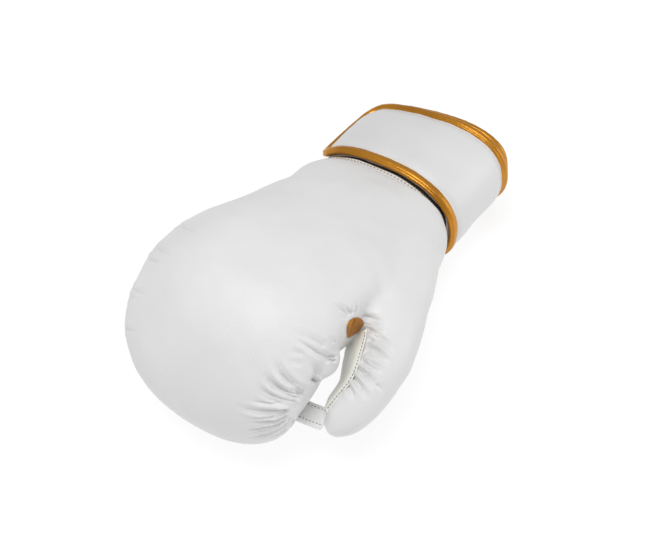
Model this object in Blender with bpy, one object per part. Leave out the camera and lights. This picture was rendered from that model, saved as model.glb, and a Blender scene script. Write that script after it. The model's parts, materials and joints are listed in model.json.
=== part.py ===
"""A boxing glove for the right hand, lying palm down on a table, with its wrist strap closed.

Metres, +Z up. The knuckles point to -Y, the thumb is on +X and the back of the hand is up.
While it is being built, the seam between hand and cuff is the plane y = 0 and the table is z = 0.
At the end the whole glove is moved so that the origin is on the table, under the middle of it.
"""

import math

import bmesh
import bpy
import numpy as np
from mathutils import Vector

# Hand and fist
HAND_LENGTH = 0.214  # cuff seam to the front of the knuckles
FIST_HEIGHT = 0.125
FIST_WIDTH = 0.133  # without the thumb
WRIST_WIDTH = 0.112
WRIST_HEIGHT = 0.074
KNUCKLE_PAD = 0.036  # foam over the knuckles, the thickest of it
SIDE_PAD = 0.018
PALM_WALL = 0.004
FINGER_LINING = 0.008  # wall between the finger pocket and the palm crease

# Thumb
THUMB_LENGTH = 0.137
THUMB_THICKNESS = 0.036
THUMB_DEPTH = 0.058  # across the thumb, top to bottom
THUMB_SPREAD = 0.043  # how far the middle of the thumb swings out from its root
THUMB_PAD = 0.011
PANEL_THICKNESS = 0.0014
TETHER_WIDTH = 0.013
TETHER_THICKNESS = 0.0032
GUSSET_LENGTH = 0.010

# Cuff, strap and their bindings
CUFF_STEP = 0.0015  # how far the cuff is set back from the hand's outside at the seam
CUFF_FLARE = 0.0045  # how much the rim is wider to each side than the seam
CUFF_DROP = 0.002  # how much lower the rim is on top than the seam
CUFF_RISE = 0.009  # how much higher the rim is underneath than the seam
CUFF_ROLL = 11.5  # degrees that the rim is turned, thumb side up
CUFF_ROLL_AT_SEAM = 0.3  # share of that turn which the cuff has at the seam
CUFF_SQUARING = 0.2  # how much squarer the rim's section is than the seam's
CUFF_BORDER = 0.0055  # bare cuff between the seam and the strap
CUFF_RIM = 0.0012  # bare cuff between the strap and the rim
CUFF_WALL = 0.009
CUFF_SLIT = 0.007
STRAP_WIDTH = 0.069  # with its binding
STRAP_THICKNESS = 0.0038
STRAP_LIFT = 0.0011  # air under the strap
STRAP_SLANT = 0.008  # how much further round the strap's front corner reaches than its rear one
STRAP_END_RADIUS_FRONT = 0.011
STRAP_END_RADIUS_REAR = 0.021
STRAP_ROOT_RADIUS = 0.0095
BINDING_WIDTH = 0.0070
BINDING_THICKNESS = 0.0056
RIM_BINDING_LENGTH = 0.0062  # along the glove

SEAM_GAP = 0.0003  # clearance between pieces that touch

# Colours of the leathers
WHITE = (0.84, 0.84, 0.83)
CREAM = (0.80, 0.80, 0.74)
GOLD = (0.62, 0.34, 0.07)

# Sections of the hand, from the cuff seam over the knuckles and round to the fingertips.
# along: share of HAND_LENGTH from the seam to the pivot that the section stands on
# lift: height of that pivot, share of FIST_HEIGHT
# turn: degrees that the section is turned forwards from upright, about the pivot
# fist: 0 where height and width are the wrist's, 1 where they are the fist's
# inner, outer: distances from the pivot to the palm side and the padded side, shares of that height
# thumb, pinky: half widths, shares of that width
HAND_COLUMNS = ("along", "lift", "turn", "fist", "inner", "outer", "thumb", "pinky")
HAND_SECTIONS = (
    (0.000, 0.034, 0, 0.00, 0.000, 1.000, 0.452, 0.545),
    (0.070, 0.048, 0, 0.10, 0.000, 1.000, 0.480, 0.552),
    (0.210, 0.112, 0, 0.35, 0.000, 0.905, 0.521, 0.512),
    (0.400, 0.216, 0, 0.70, 0.000, 0.793, 0.495, 0.492),
    (0.550, 0.336, 0, 0.90, 0.020, 0.678, 0.466, 0.492),
    (0.635, 0.416, 8, 1.00, 0.056, 0.588, 0.474, 0.490),
    (0.635, 0.416, 36, 1.00, 0.056, 0.612, 0.480, 0.486),
    (0.635, 0.416, 66, 1.00, 0.056, 0.627, 0.475, 0.472),
    (0.635, 0.416, 96, 1.00, 0.056, 0.596, 0.430, 0.438),
    (0.635, 0.416, 126, 1.00, 0.056, 0.538, 0.385, 0.404),
    (0.635, 0.416, 152, 1.00, 0.056, 0.470, 0.345, 0.380),
    (0.635, 0.416, 178, 1.00, 0.060, 0.424, 0.305, 0.385),
    (0.635, 0.416, 202, 1.00, 0.075, 0.408, 0.275, 0.365),
    (0.635, 0.416, 220, 1.00, 0.110, 0.360, 0.235, 0.330),
    (0.635, 0.416, 230, 1.00, 0.170, 0.290, 0.160, 0.260),
)
OUTER_SQUARENESS = 2.3
PALM_SQUARENESS = 3.0

# The hollow that the hand goes into, by the same sections.
# section: row of HAND_SECTIONS that it goes with
# pad, side, palm: wall thicknesses, shares of KNUCKLE_PAD, SIDE_PAD and PALM_WALL
# lining: share of FINGER_LINING added on the palm side
HOLLOW_COLUMNS = ("section", "pad", "side", "palm", "lining")
HOLLOW_SECTIONS = (
    (0.0, 0.30, 0.50, 1.3, 0.0),
    (1.0, 0.45, 0.60, 1.5, 0.0),
    (2.0, 0.85, 0.80, 2.0, 0.0),
    (3.0, 1.00, 1.00, 2.0, 0.0),
    (4.0, 1.00, 1.00, 1.5, 0.3),
    (5.0, 1.00, 1.00, 0.5, 1.0),
    (7.0, 1.00, 1.00, 0.5, 1.0),
    (9.0, 0.92, 1.00, 0.5, 1.0),
    (10.5, 0.60, 1.00, 0.5, 1.0),
    (11.6, 0.56, 1.25, 0.8, 1.6),
)

# The thumb, from its root inside the hand to its tip.
# along: share of THUMB_LENGTH; side: share of THUMB_SPREAD; lift: share of FIST_HEIGHT
# thick, deep: shares of half THUMB_THICKNESS and half THUMB_DEPTH; lean: degrees the top leans outwards
THUMB_COLUMNS = ("along", "side", "lift", "thick", "deep", "lean")
THUMB_SECTIONS = (
    (0.00, 0.00, 0.440, 0.75, 0.70, 4),
    (0.18, 0.32, 0.450, 0.95, 0.88, 9),
    (0.36, 0.52, 0.465, 1.00, 0.97, 15),
    (0.50, 0.69, 0.465, 1.02, 1.02, 20),
    (0.64, 0.81, 0.445, 1.03, 0.97, 22),
    (0.77, 0.82, 0.410, 0.95, 0.86, 20),
    (0.88, 0.78, 0.365, 0.76, 0.70, 17),
    (0.95, 0.72, 0.335, 0.52, 0.50, 14),
    (0.985, 0.68, 0.322, 0.26, 0.26, 14),
)
THUMB_ROOT_ALONG = 0.140  # share of HAND_LENGTH
THUMB_ROOT_SIDE = 0.316  # share of FIST_WIDTH
INNER_FLAT = 0.87  # flat inner side of the thumb: distance from the middle, share of half the thickness
INNER_SLOPE = 0.12  # how much further out that flat is for each metre up
THUMB_SQUARENESS = 2.5
THUMB_BLEND = 0.016  # reach of the soft fillet between thumb and hand
BLEND_ENDS = 0.50  # share of HAND_LENGTH at which the fillet has faded out
BLEND_FADE = 0.12  # share of HAND_LENGTH over which it fades

# Gathers where the leather is drawn into a seam: each is a crease that runs up from the seam.
# at: place along the seam, in section rows for the hand and share of the length for the thumb
# reach: length of the crease, share of FIST_WIDTH; lean: how far it drifts along the seam, same share
# depth: share of GATHER_DEPTH; width: share of GATHER_WIDTH
GATHER_DEPTH = 0.0024
GATHER_WIDTH = 0.0052
GATHER_START = 0.10  # how far below the seam a gather begins, share of its length
GATHER_FADE = 0.85  # how much of its length it fades over
GATHER_CURVE = 1.3  # power of its drift: over 1, it bends away from the seam
SHOULDER_HEIGHT = 0.45  # swelling beside a gather, share of its depth
SHOULDER_WIDTH = 2.1  # the same, share of its width
GATHER_COLUMNS = ("at", "reach", "lean", "depth", "width")
FIST_GATHERS = (
    (6.55, 0.20, -0.10, 0.45, 0.8),
    (7.10, 0.28, -0.13, 0.70, 0.9),
    (7.60, 0.40, -0.16, 1.00, 1.0),
    (8.05, 0.46, -0.14, 1.00, 1.1),
    (8.50, 0.44, -0.08, 0.95, 1.0),
    (8.95, 0.40, 0.00, 0.85, 1.0),
    (9.45, 0.34, 0.05, 0.75, 1.0),
    (10.0, 0.28, 0.08, 0.65, 1.0),
)
PINKY_GATHERS = (
    (5.10, 0.10, 0.0, 0.42, 0.7),
    (5.95, 0.12, 0.0, 0.55, 0.8),
    (6.75, 0.11, 0.0, 0.45, 0.7),
    (7.55, 0.13, 0.0, 0.55, 0.8),
    (8.40, 0.11, 0.0, 0.40, 0.7),
)
THUMB_GATHERS = (
    (0.46, 0.20, 0.06, 0.45, 0.8),
    (0.54, 0.22, 0.07, 0.55, 0.8),
    (0.62, 0.22, 0.07, 0.60, 0.8),
    (0.70, 0.20, 0.05, 0.50, 0.8),
    (0.78, 0.16, 0.04, 0.40, 0.8),
)
FIST_SEAM_ANGLE = -14  # degrees round the section, from the thumb side upwards
PINKY_SEAM_ANGLE = 190
THUMB_SEAM_ANGLE = 128

# Where the inner panel, the gusset and the tether lie, as places along the thumb, shares of THUMB_LENGTH
PANEL_START = 0.655
PANEL_END = 0.93
TETHER_AT = 0.925
GUSSET_AT = 0.60
HOLLOW_REACH = 0.90  # end of the thumb's hollow

# The gusset, in the crotch: from and to up and across the thumb, shares of half its depth and thickness
GUSSET_UP = (-0.10, 0.75)
GUSSET_ACROSS = (-1.45, -0.30)
GUSSET_LEAN = 0.35  # how much further out it is for each metre up
GUSSET_TILT = 0.12  # how much lower it is for each metre out
GUSSET_DIP = 0.35  # how much its top edge stands back, share of GUSSET_LENGTH
GUSSET_DISH = 0.25  # how much its sides stand forward of its middle, same share
GUSSET_BACK = 0.15  # how far its back lies behind its place, same share

# The tether, from the fist to the thumb's tip
TETHER_ACROSS = (-1.55, -0.20)  # shares of half THUMB_THICKNESS
TETHER_SLOPE = 0.45  # how far it runs back for each metre out
TETHER_SAG = 0.10  # share of TETHER_WIDTH

# Places round the cuff, degrees from the thumb side over the back
STRAP_END_ANGLE = 152
STRAP_ROOT_ANGLE = -128  # on the palm
SLIT_ANGLE = -90

# Mesh fineness
HAND_QUARTERS = (11, 10, 6, 6)  # points in each quarter of a section, from the thumb side over the back
THUMB_QUARTERS = (6, 7, 6, 5)
HOLLOW_QUARTERS = (5, 5, 5, 5)
THUMB_HOLLOW_QUARTERS = (4, 4, 4, 4)
THUMB_RINGS = 27
PANEL_STATIONS = 9
PANEL_POINTS = 5
THUMB_HOLLOW_RINGS = 13
HAND_HOLLOW_RINGS = 24
STRAP_STATIONS = 54
STRAP_CROWDING = 0.10  # how much closer the stations are at the strap's rounded ends
STRAP_TIP = 0.0002  # first and last station, from the very end
ARC_STEPS = 1500
ARC_MARGIN = 40  # degrees of cuff beyond the strap's ends that its length is worked out for
BINDING_SIDES = 8
BINDING_STEP = 0.0085
CORNER_POINTS = 5
CUFF_POINTS = 40
CUFF_RINGS = 7
FINE_STEP = 0.0052  # along the fist, where the gathers are
COARSE_STEP = 0.0105
FINE_FROM, FINE_TO = 4.6, 11.5  # section rows between which the fine step holds
FINE_RAMP = 1.1


def columns(names, rows):
    """The table as a dict of column name to array."""
    return dict(zip(names, np.array(rows, float).T))


HAND = columns(HAND_COLUMNS, HAND_SECTIONS)
HOLLOW = columns(HOLLOW_COLUMNS, HOLLOW_SECTIONS)
THUMB = columns(THUMB_COLUMNS, THUMB_SECTIONS)


def smooth_between(values, at):
    """Catmull-Rom curve through values at 0, 1, 2..., read at the places in at."""
    values = np.asarray(values, float)
    last = len(values) - 1
    at = np.clip(np.asarray(at, float), 0, last)
    i = np.minimum(at.astype(int), last - 1)
    u = at - i
    before, start, end, after = (values[np.clip(i + k, 0, last)] for k in (-1, 0, 1, 2))
    before = np.where(i == 0, 2 * start - end, before)
    after = np.where(i + 1 == last, 2 * end - start, after)
    slope_in, slope_out = (end - before) / 2, (after - start) / 2
    rise = end - start
    square = 3 * rise - 2 * slope_in - slope_out
    cube = slope_in + slope_out - 2 * rise
    return start + u * (slope_in + u * (square + u * cube))


def ease(x):
    """0 below 0, 1 above 1, smooth between."""
    x = np.clip(x, 0, 1)
    return x * x * (3 - 2 * x)


def hand_frame(at):
    """Pivot, height, width and turn of the hand's section at each place in at, in section rows."""
    row = {name: smooth_between(HAND[name], at) for name in HAND_COLUMNS}
    height = WRIST_HEIGHT + (FIST_HEIGHT - WRIST_HEIGHT) * row["fist"]
    width = WRIST_WIDTH + (FIST_WIDTH - WRIST_WIDTH) * row["fist"]
    return {
        "y": -row["along"] * HAND_LENGTH,
        "z": row["lift"] * FIST_HEIGHT,
        "turn": np.radians(row["turn"]),
        "inner": row["inner"] * height,
        "outer": row["outer"] * height,
        "thumb": row["thumb"] * width,
        "pinky": row["pinky"] * width,
    }


def oval(right, left, top, bottom, squareness_top, squareness_bottom, quarters):
    """Points round an oval about (0, 0), evenly spaced in each quarter, from the right over the top."""
    sides = ((right, top), (left, top), (left, bottom), (right, bottom))
    points = []
    for k, (count, (across, up)) in enumerate(zip(quarters, sides)):
        squareness = squareness_top if k < 2 else squareness_bottom
        angle = np.radians(90) * (k + np.linspace(0, 1, 60))
        c, s = np.cos(angle), np.sin(angle)
        x = across * np.sign(c) * np.abs(c) ** (2 / squareness)
        z = up * np.sign(s) * np.abs(s) ** (2 / squareness)
        length = np.concatenate([[0], np.cumsum(np.hypot(np.diff(x), np.diff(z)))])
        wanted = np.linspace(0, length[-1], count, endpoint=False)
        points += list(zip(np.interp(wanted, length, x), np.interp(wanted, length, z)))
    return np.array(points)


def hand_ring(frame, quarters, pad=0.0, side=0.0, palm=0.0):
    """One section of the hand as points in space, moved in from the surface by the three walls."""
    low, high = frame["inner"] + palm, frame["outer"] - pad
    middle, half = (low + high) / 2, (high - low) / 2
    ring = oval(
        frame["thumb"] - side, frame["pinky"] - side, half, half, OUTER_SQUARENESS, PALM_SQUARENESS, quarters
    )
    away = middle + ring[:, 1]
    return np.stack(
        [
            ring[:, 0],
            frame["y"] - away * math.sin(frame["turn"]),
            frame["z"] + away * math.cos(frame["turn"]),
        ],
        axis=1,
    )


def hand_places():
    """Where the hand's rings are, in section rows: evenly spaced over the padded side, finer on the fist."""
    fine = np.linspace(0, len(HAND_SECTIONS) - 1, 1200)
    frame = hand_frame(fine)
    y = frame["y"] - frame["outer"] * np.sin(frame["turn"])
    z = frame["z"] + frame["outer"] * np.cos(frame["turn"])
    gathered = ease((fine - FINE_FROM) / FINE_RAMP) * ease((FINE_TO - fine) / FINE_RAMP)
    step = COARSE_STEP + (FINE_STEP - COARSE_STEP) * gathered[1:]
    passed = np.concatenate([[0], np.cumsum(np.hypot(np.diff(y), np.diff(z)) / step)])
    return np.interp(np.linspace(0, passed[-1], round(passed[-1]) + 1), passed, fine)


def normals_of(rings):
    """Outward unit normals of a grid of rings, each ring closed."""
    round_ring = np.roll(rings, -1, axis=1) - np.roll(rings, 1, axis=1)
    along = np.gradient(rings, axis=0)
    normal = np.cross(round_ring, along)
    return normal / np.maximum(np.linalg.norm(normal, axis=2, keepdims=True), 1e-12)


def ring_angles(quarters):
    """Degrees round the section of each ring point, by its share of its quarter."""
    return np.concatenate([90 * (k + np.arange(count) / count) for k, count in enumerate(quarters)])


def gather_depths(rings, places, gathers, seam_angle, side, quarters):
    """How far each point of the grid is drawn in by creases that start at a seam and run up one side."""
    angles = ring_angles(quarters)
    from_seam = ((angles - seam_angle + 180) % 360 - 180) * side
    step = np.linalg.norm(rings - np.roll(rings, 1, axis=1), axis=2)
    perimeter = step.sum(axis=1, keepdims=True)
    up = from_seam[None, :] / 360 * perimeter
    spacing = np.linalg.norm(np.gradient(rings, axis=0), axis=2)
    speed = spacing / np.gradient(places)[:, None]
    drawn = np.zeros(rings.shape[:2])
    for at, reach, lean, depth, width in gathers:
        share = up / (reach * FIST_WIDTH)
        centre = lean * FIST_WIDTH * np.clip(share, 0, 1) ** GATHER_CURVE
        off = (places[:, None] - at) * speed - centre
        across = off / (width * GATHER_WIDTH)
        shoulder = SHOULDER_HEIGHT * np.exp(-((across / SHOULDER_WIDTH) ** 2))
        crease = np.exp(-(across**2)) - shoulder
        fade = ease((share + GATHER_START) / GATHER_START) * ease((1 - share) / GATHER_FADE)
        drawn += depth * GATHER_DEPTH * crease * fade
    return drawn


def thumb_frame(at):
    """Centre, half sizes and lean of the thumb's section at each place in at, in section rows."""
    row = {name: smooth_between(THUMB[name], at) for name in THUMB_COLUMNS}
    centre = np.stack(
        [
            THUMB_ROOT_SIDE * FIST_WIDTH + row["side"] * THUMB_SPREAD,
            -THUMB_ROOT_ALONG * HAND_LENGTH - row["along"] * THUMB_LENGTH,
            row["lift"] * FIST_HEIGHT,
        ],
        axis=-1,
    )
    return {
        "centre": centre,
        "thick": row["thick"] * THUMB_THICKNESS / 2,
        "deep": row["deep"] * THUMB_DEPTH / 2,
        "lean": np.radians(row["lean"]),
        "along": row["along"],
    }


def thumb_axes(frame):
    """Unit vectors of each thumb section: outwards, up, and forwards along the thumb."""
    forward = np.gradient(frame["centre"], axis=0)
    forward /= np.linalg.norm(forward, axis=1, keepdims=True)
    out = np.stack([np.cos(frame["lean"]), 0 * frame["lean"], -np.sin(frame["lean"])], axis=1)
    out -= (out * forward).sum(axis=1, keepdims=True) * forward
    out /= np.linalg.norm(out, axis=1, keepdims=True)
    return out, np.cross(forward, out), forward


def thumb_rings(places, quarters, wall=0.0):
    """The thumb's sections as a grid of points."""
    frame = thumb_frame(places)
    out, up, _ = thumb_axes(frame)
    rings = []
    for k in range(len(places)):
        thick, deep = frame["thick"][k] - wall, frame["deep"][k] - wall
        ring = oval(thick, thick, deep, deep, THUMB_SQUARENESS, THUMB_SQUARENESS, quarters)
        ring[:, 0] = np.maximum(ring[:, 0], -INNER_FLAT * thick + INNER_SLOPE * ring[:, 1])
        rings.append(frame["centre"][k] + ring[:, :1] * out[k] + ring[:, 1:] * up[k])
    return np.array(rings)


def distance_past_oval(across, up, half_across, half_up, squareness):
    """Rough distance from a point to an oval, negative inside it."""
    powers = np.abs(across / half_across) ** squareness + np.abs(up / half_up) ** squareness
    share = powers ** (1 / squareness)
    return np.hypot(across, up) * (1 - 1 / np.maximum(share, 1e-6))


def distance_to_thumb(points):
    """Rough distance from each point to the thumb."""
    frame = thumb_frame(np.linspace(0, len(THUMB_SECTIONS) - 1, 60))
    out, up, _ = thumb_axes(frame)
    nearest = np.linalg.norm(points[:, None] - frame["centre"][None], axis=2).argmin(axis=1)
    offset = points - frame["centre"][nearest]
    return distance_past_oval(
        (offset * out[nearest]).sum(axis=1),
        (offset * up[nearest]).sum(axis=1),
        frame["thick"][nearest],
        frame["deep"][nearest],
        THUMB_SQUARENESS,
    )


def distance_to_hand(points):
    """Rough distance from each point to the upright sections of the hand."""
    places = np.linspace(0, 5, 80)
    frame = hand_frame(places)
    order = np.argsort(frame["y"])
    value = {name: np.interp(points[:, 1], frame["y"][order], frame[name][order]) for name in frame}
    middle = value["z"] + (value["inner"] + value["outer"]) / 2
    side = np.where(points[:, 0] > 0, value["thumb"], value["pinky"])
    return distance_past_oval(
        points[:, 0], points[:, 2] - middle, side, (value["outer"] - value["inner"]) / 2, OUTER_SQUARENESS
    )


def swelling(points, distance):
    """The soft fillet: how far a surface stands out near the other one, fading out towards the crotch."""
    reach = np.clip(THUMB_BLEND - np.maximum(distance, 0), 0, None)
    fade = ease((points[:, 1] / HAND_LENGTH + BLEND_ENDS) / BLEND_FADE)
    return reach**2 / (4 * THUMB_BLEND) * fade


def hand_surface(grow=0.0):
    """The outside of the hand as a grid of rings, with its gathers, flattened where it rests."""
    places = hand_places()
    frame = hand_frame(places)
    rings = np.array(
        [hand_ring({k: v[i] for k, v in frame.items()}, HAND_QUARTERS) for i in range(len(places))]
    )
    normal = normals_of(rings)
    drawn = gather_depths(rings, places, FIST_GATHERS, FIST_SEAM_ANGLE, 1, HAND_QUARTERS)
    drawn += gather_depths(rings, places, PINKY_GATHERS, PINKY_SEAM_ANGLE, -1, HAND_QUARTERS)
    flat = rings.reshape(-1, 3)
    raised = swelling(flat, distance_to_thumb(flat)).reshape(rings.shape[:2])
    rings = rings + normal * (raised - drawn + grow)[:, :, None]
    rings[0, :, 1] = grow
    rings[:, :, 2] = np.maximum(rings[:, :, 2], -grow)
    return rings


def thumb_surface(grow=0.0):
    """The outside of the thumb as a grid of rings."""
    places = np.linspace(0, len(THUMB_SECTIONS) - 1, THUMB_RINGS)
    rings = thumb_rings(places, THUMB_QUARTERS)
    normal = normals_of(rings)
    share = smooth_between(THUMB["along"], places)
    drawn = gather_depths(rings, share, THUMB_GATHERS, THUMB_SEAM_ANGLE, -1, THUMB_QUARTERS)
    flat = rings.reshape(-1, 3)
    raised = swelling(flat, distance_to_hand(flat)).reshape(rings.shape[:2])
    return rings + normal * (raised - drawn + grow)[:, :, None]


def hollow_rings():
    """The hand's hollow, from in front of the cuff seam to the fingertips."""
    places = np.linspace(0, len(HOLLOW_SECTIONS) - 1, HAND_HOLLOW_RINGS)
    row = {name: smooth_between(HOLLOW[name], places) for name in HOLLOW_COLUMNS}
    frame = hand_frame(row["section"])
    rings = []
    for i in range(len(places)):
        rings.append(
            hand_ring(
                {k: v[i] for k, v in frame.items()},
                HOLLOW_QUARTERS,
                pad=row["pad"][i] * KNUCKLE_PAD,
                side=row["side"][i] * SIDE_PAD,
                palm=row["palm"][i] * PALM_WALL + row["lining"][i] * FINGER_LINING,
            )
        )
    mouth = rings[0] + np.array([0, CUFF_WALL, 0])
    return np.array([mouth] + rings)


def new_mesh_object(name, points, faces, material=None):
    mesh = bpy.data.meshes.new(name)
    mesh.from_pydata([tuple(p) for p in points], [], faces)
    mesh.update()
    obj = bpy.data.objects.new(name, mesh)
    if material:
        mesh.materials.append(material)
    return obj


def loft(name, rings, material=None):
    """A closed solid through the rings, capped at both ends, facing out."""
    count, size = rings.shape[:2]
    faces = [
        (i * size + j, i * size + (j + 1) % size, (i + 1) * size + (j + 1) % size, (i + 1) * size + j)
        for i in range(count - 1)
        for j in range(size)
    ]
    faces.append(tuple(range(size))[::-1])
    faces.append(tuple((count - 1) * size + j for j in range(size)))
    obj = new_mesh_object(name, rings.reshape(-1, 3), faces, material)
    face_outwards(obj)
    return obj


def face_outwards(obj):
    bm = bmesh.new()
    bm.from_mesh(obj.data)
    bmesh.ops.recalc_face_normals(bm, faces=bm.faces)
    if bm.calc_volume(signed=True) < 0:
        bmesh.ops.reverse_faces(bm, faces=bm.faces)
    bm.to_mesh(obj.data)
    bm.free()


def slab(name, top, bottom, material=None):
    """A closed solid between two grids of the same size."""
    return loft(name, np.concatenate([top, bottom[:, ::-1]], axis=1), material)


def sweep(name, centres, sides, ups, half_side, half_up, closed, material):
    """A cord of oval section along the centres, with its own sideways and upward directions."""
    angle = np.radians(360) * np.arange(BINDING_SIDES) / BINDING_SIDES
    across = half_side * np.cos(angle)[None, :, None]
    above = half_up * np.sin(angle)[None, :, None]
    rings = centres[:, None] + across * sides[:, None] + above * ups[:, None]
    rings[:, :, 2] = np.maximum(rings[:, :, 2], 0)
    if not closed:
        return loft(name, rings, material)
    count, size = rings.shape[:2]
    faces = [
        (
            i * size + j,
            i * size + (j + 1) % size,
            (i + 1) % count * size + (j + 1) % size,
            (i + 1) % count * size + j,
        )
        for i in range(count)
        for j in range(size)
    ]
    obj = new_mesh_object(name, rings.reshape(-1, 3), faces, material)
    face_outwards(obj)
    return obj


def cuff_length():
    return CUFF_BORDER + STRAP_WIDTH + CUFF_RIM


def turned(vectors, roll):
    """The vectors turned about the length of the glove, +X towards +Z."""
    c, s = np.cos(roll), np.sin(roll)
    x, y, z = vectors[..., 0], vectors[..., 1], vectors[..., 2]
    return np.stack([x * c - z * s, y, x * s + z * c], axis=-1)


def cuff_points(angles, y, grow=0.0):
    """Points on the cuff's outside, or that far off it, at angles in degrees and distances from the seam."""
    seam = {name: float(value) for name, value in hand_frame(0.0).items()}
    share = np.asarray(y, float) / cuff_length()
    half_up = (seam["outer"] - seam["inner"] - (CUFF_DROP + CUFF_RISE) * share) / 2 - CUFF_STEP
    middle = seam["z"] + seam["inner"] + CUFF_STEP + CUFF_RISE * share + half_up
    angles = np.radians(angles)
    c, s = np.cos(angles), np.sin(angles)
    across = np.where(c > 0, seam["thumb"], seam["pinky"]) - CUFF_STEP + CUFF_FLARE * share
    squareness = OUTER_SQUARENESS + CUFF_SQUARING * share
    power = 2 / squareness
    x = across * np.sign(c) * np.abs(c) ** power
    z = half_up * np.sign(s) * np.abs(s) ** power
    slope_x = np.sign(x) * np.abs(x / across) ** (squareness - 1) / across
    slope_z = np.sign(z) * np.abs(z / half_up) ** (squareness - 1) / half_up
    length = np.hypot(slope_x, slope_z)
    normal = np.stack([slope_x / length, 0 * slope_x, slope_z / length], axis=-1)
    roll = np.radians(CUFF_ROLL) * (CUFF_ROLL_AT_SEAM + (1 - CUFF_ROLL_AT_SEAM) * share)
    offset = np.stack([x, 0 * x, z], axis=-1) + grow * normal
    point = turned(offset, roll) + np.stack([0 * x, y + 0 * x, middle + 0 * x], axis=-1)
    return point, turned(normal, roll)


def arc_table():
    """Angles in degrees and the length of cuff, at the middle of the strap, from the strap's root to them."""
    angles = np.linspace(STRAP_ROOT_ANGLE - ARC_MARGIN, STRAP_END_ANGLE + ARC_MARGIN, ARC_STEPS)
    points, _ = cuff_points(angles, CUFF_BORDER + STRAP_WIDTH / 2, BINDING_THICKNESS / 2)
    passed = np.concatenate([[0], np.cumsum(np.linalg.norm(np.diff(points, axis=0), axis=1))])
    return angles, passed - np.interp(STRAP_ROOT_ANGLE, angles, passed)


def strap_outline(inset, arc_points):
    """The flat strap, its edge moved in: points (along, across) round it from the root's front corner."""
    angles, passed = arc_table()
    end = np.interp(STRAP_END_ANGLE, angles, passed)
    lean = math.atan2(STRAP_SLANT, STRAP_WIDTH)
    front, rear, root = STRAP_END_RADIUS_FRONT, STRAP_END_RADIUS_REAR, STRAP_ROOT_RADIUS
    tip = end + STRAP_SLANT - front * (1 + math.tan(lean))
    quarter = math.pi / 2
    corners = (
        (root, root, root, 2 * quarter, 3 * quarter),
        (tip, front, front, 3 * quarter, 4 * quarter + lean),
        (end - rear, STRAP_WIDTH - rear, rear, lean, quarter),
        (root, STRAP_WIDTH - root, root, quarter, 2 * quarter),
    )
    points = []
    for along, across, radius, start, stop in corners:
        turn = np.linspace(start, stop, arc_points)
        arc = np.stack([np.cos(turn), np.sin(turn)], axis=1)
        points += list(np.array([along, across]) + (radius - inset) * arc)
    return np.array(points)


def on_cuff(flat, grow):
    """Points of the flat strap wrapped on the cuff, and the directions away from the cuff there."""
    angles, passed = arc_table()
    return cuff_points(np.interp(flat[:, 0], passed, angles), CUFF_BORDER + flat[:, 1], grow)


def subdivided(points, step):
    """A closed line through the points, with more points where they are further apart than the step."""
    line = []
    for start, end in zip(points, np.roll(points, -1, axis=0)):
        count = max(1, round(float(np.linalg.norm(end - start)) / step))
        line += [start + (end - start) * k / count for k in range(count)]
    return np.array(line)


def make_strap(material):
    outline = strap_outline(BINDING_WIDTH + 2 * SEAM_GAP, 3 * CORNER_POINTS)
    ends = outline[:, 0].min(), outline[:, 0].max()
    share = np.linspace(0, 1, STRAP_STATIONS)
    share -= STRAP_CROWDING * np.sin(2 * np.pi * share)
    along = ends[0] + (ends[1] - ends[0]) * share
    low, high = [], []
    closed = np.concatenate([outline, outline[:1]])
    for s in along:
        s = np.clip(s, ends[0] + STRAP_TIP, ends[1] - STRAP_TIP)
        a, b = closed[:-1], closed[1:]
        hit = (a[:, 0] - s) * (b[:, 0] - s) <= 0
        run = np.where(np.abs(b[hit, 0] - a[hit, 0]) < 1e-12, 1.0, b[hit, 0] - a[hit, 0])
        across = a[hit, 1] + (s - a[hit, 0]) / run * (b[hit, 1] - a[hit, 1])
        low.append(across.min())
        high.append(across.max())
    low, high = np.array(low), np.array(high)
    grids = []
    for grow in (STRAP_LIFT + STRAP_THICKNESS, STRAP_LIFT):
        columns_of = [
            on_cuff(np.stack([along, low + (high - low) * k], axis=1), grow)[0] for k in (0, 0.5, 1)
        ]
        grid = np.stack(columns_of, axis=1)
        grid[:, :, 2] = np.maximum(grid[:, :, 2], 0)
        grids.append(grid)
    return slab("wrist_strap", grids[0], grids[1], material)


def make_strap_binding(material):
    flat = subdivided(strap_outline(BINDING_WIDTH / 2, CORNER_POINTS), BINDING_STEP)
    centres, ups = on_cuff(flat, 2 * SEAM_GAP + BINDING_THICKNESS / 2)
    forward = np.roll(centres, -1, axis=0) - np.roll(centres, 1, axis=0)
    sides = np.cross(forward, ups)
    sides /= np.linalg.norm(sides, axis=1, keepdims=True)
    return sweep(
        "strap_binding", centres, sides, ups, BINDING_WIDTH / 2, BINDING_THICKNESS / 2, True, material
    )


def slit_angles():
    """Angles round the cuff from one edge of its slit to the other."""
    half = math.degrees(CUFF_SLIT / 2 / (WRIST_WIDTH / 2))
    return np.linspace(SLIT_ANGLE + half, SLIT_ANGLE + 360 - half, CUFF_POINTS)


def make_cuff(material):
    rings = []
    for y in np.linspace(SEAM_GAP, cuff_length(), CUFF_RINGS):
        outer, _ = cuff_points(slit_angles(), y)
        inner, _ = cuff_points(slit_angles(), y, -CUFF_WALL)
        rings.append(np.concatenate([outer, inner[::-1]]))
    return loft("cuff", np.array(rings), material)


def make_rim_binding(material):
    y = cuff_length() + SEAM_GAP + RIM_BINDING_LENGTH / 2
    centres, ups = cuff_points(slit_angles(), y, -CUFF_WALL / 2)
    sides = np.tile([0.0, 1.0, 0.0], (len(centres), 1))
    half_up = CUFF_WALL / 2 + STRAP_LIFT
    return sweep(
        "cuff_rim_binding", centres, sides, ups, RIM_BINDING_LENGTH / 2, half_up, False, material
    )


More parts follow.
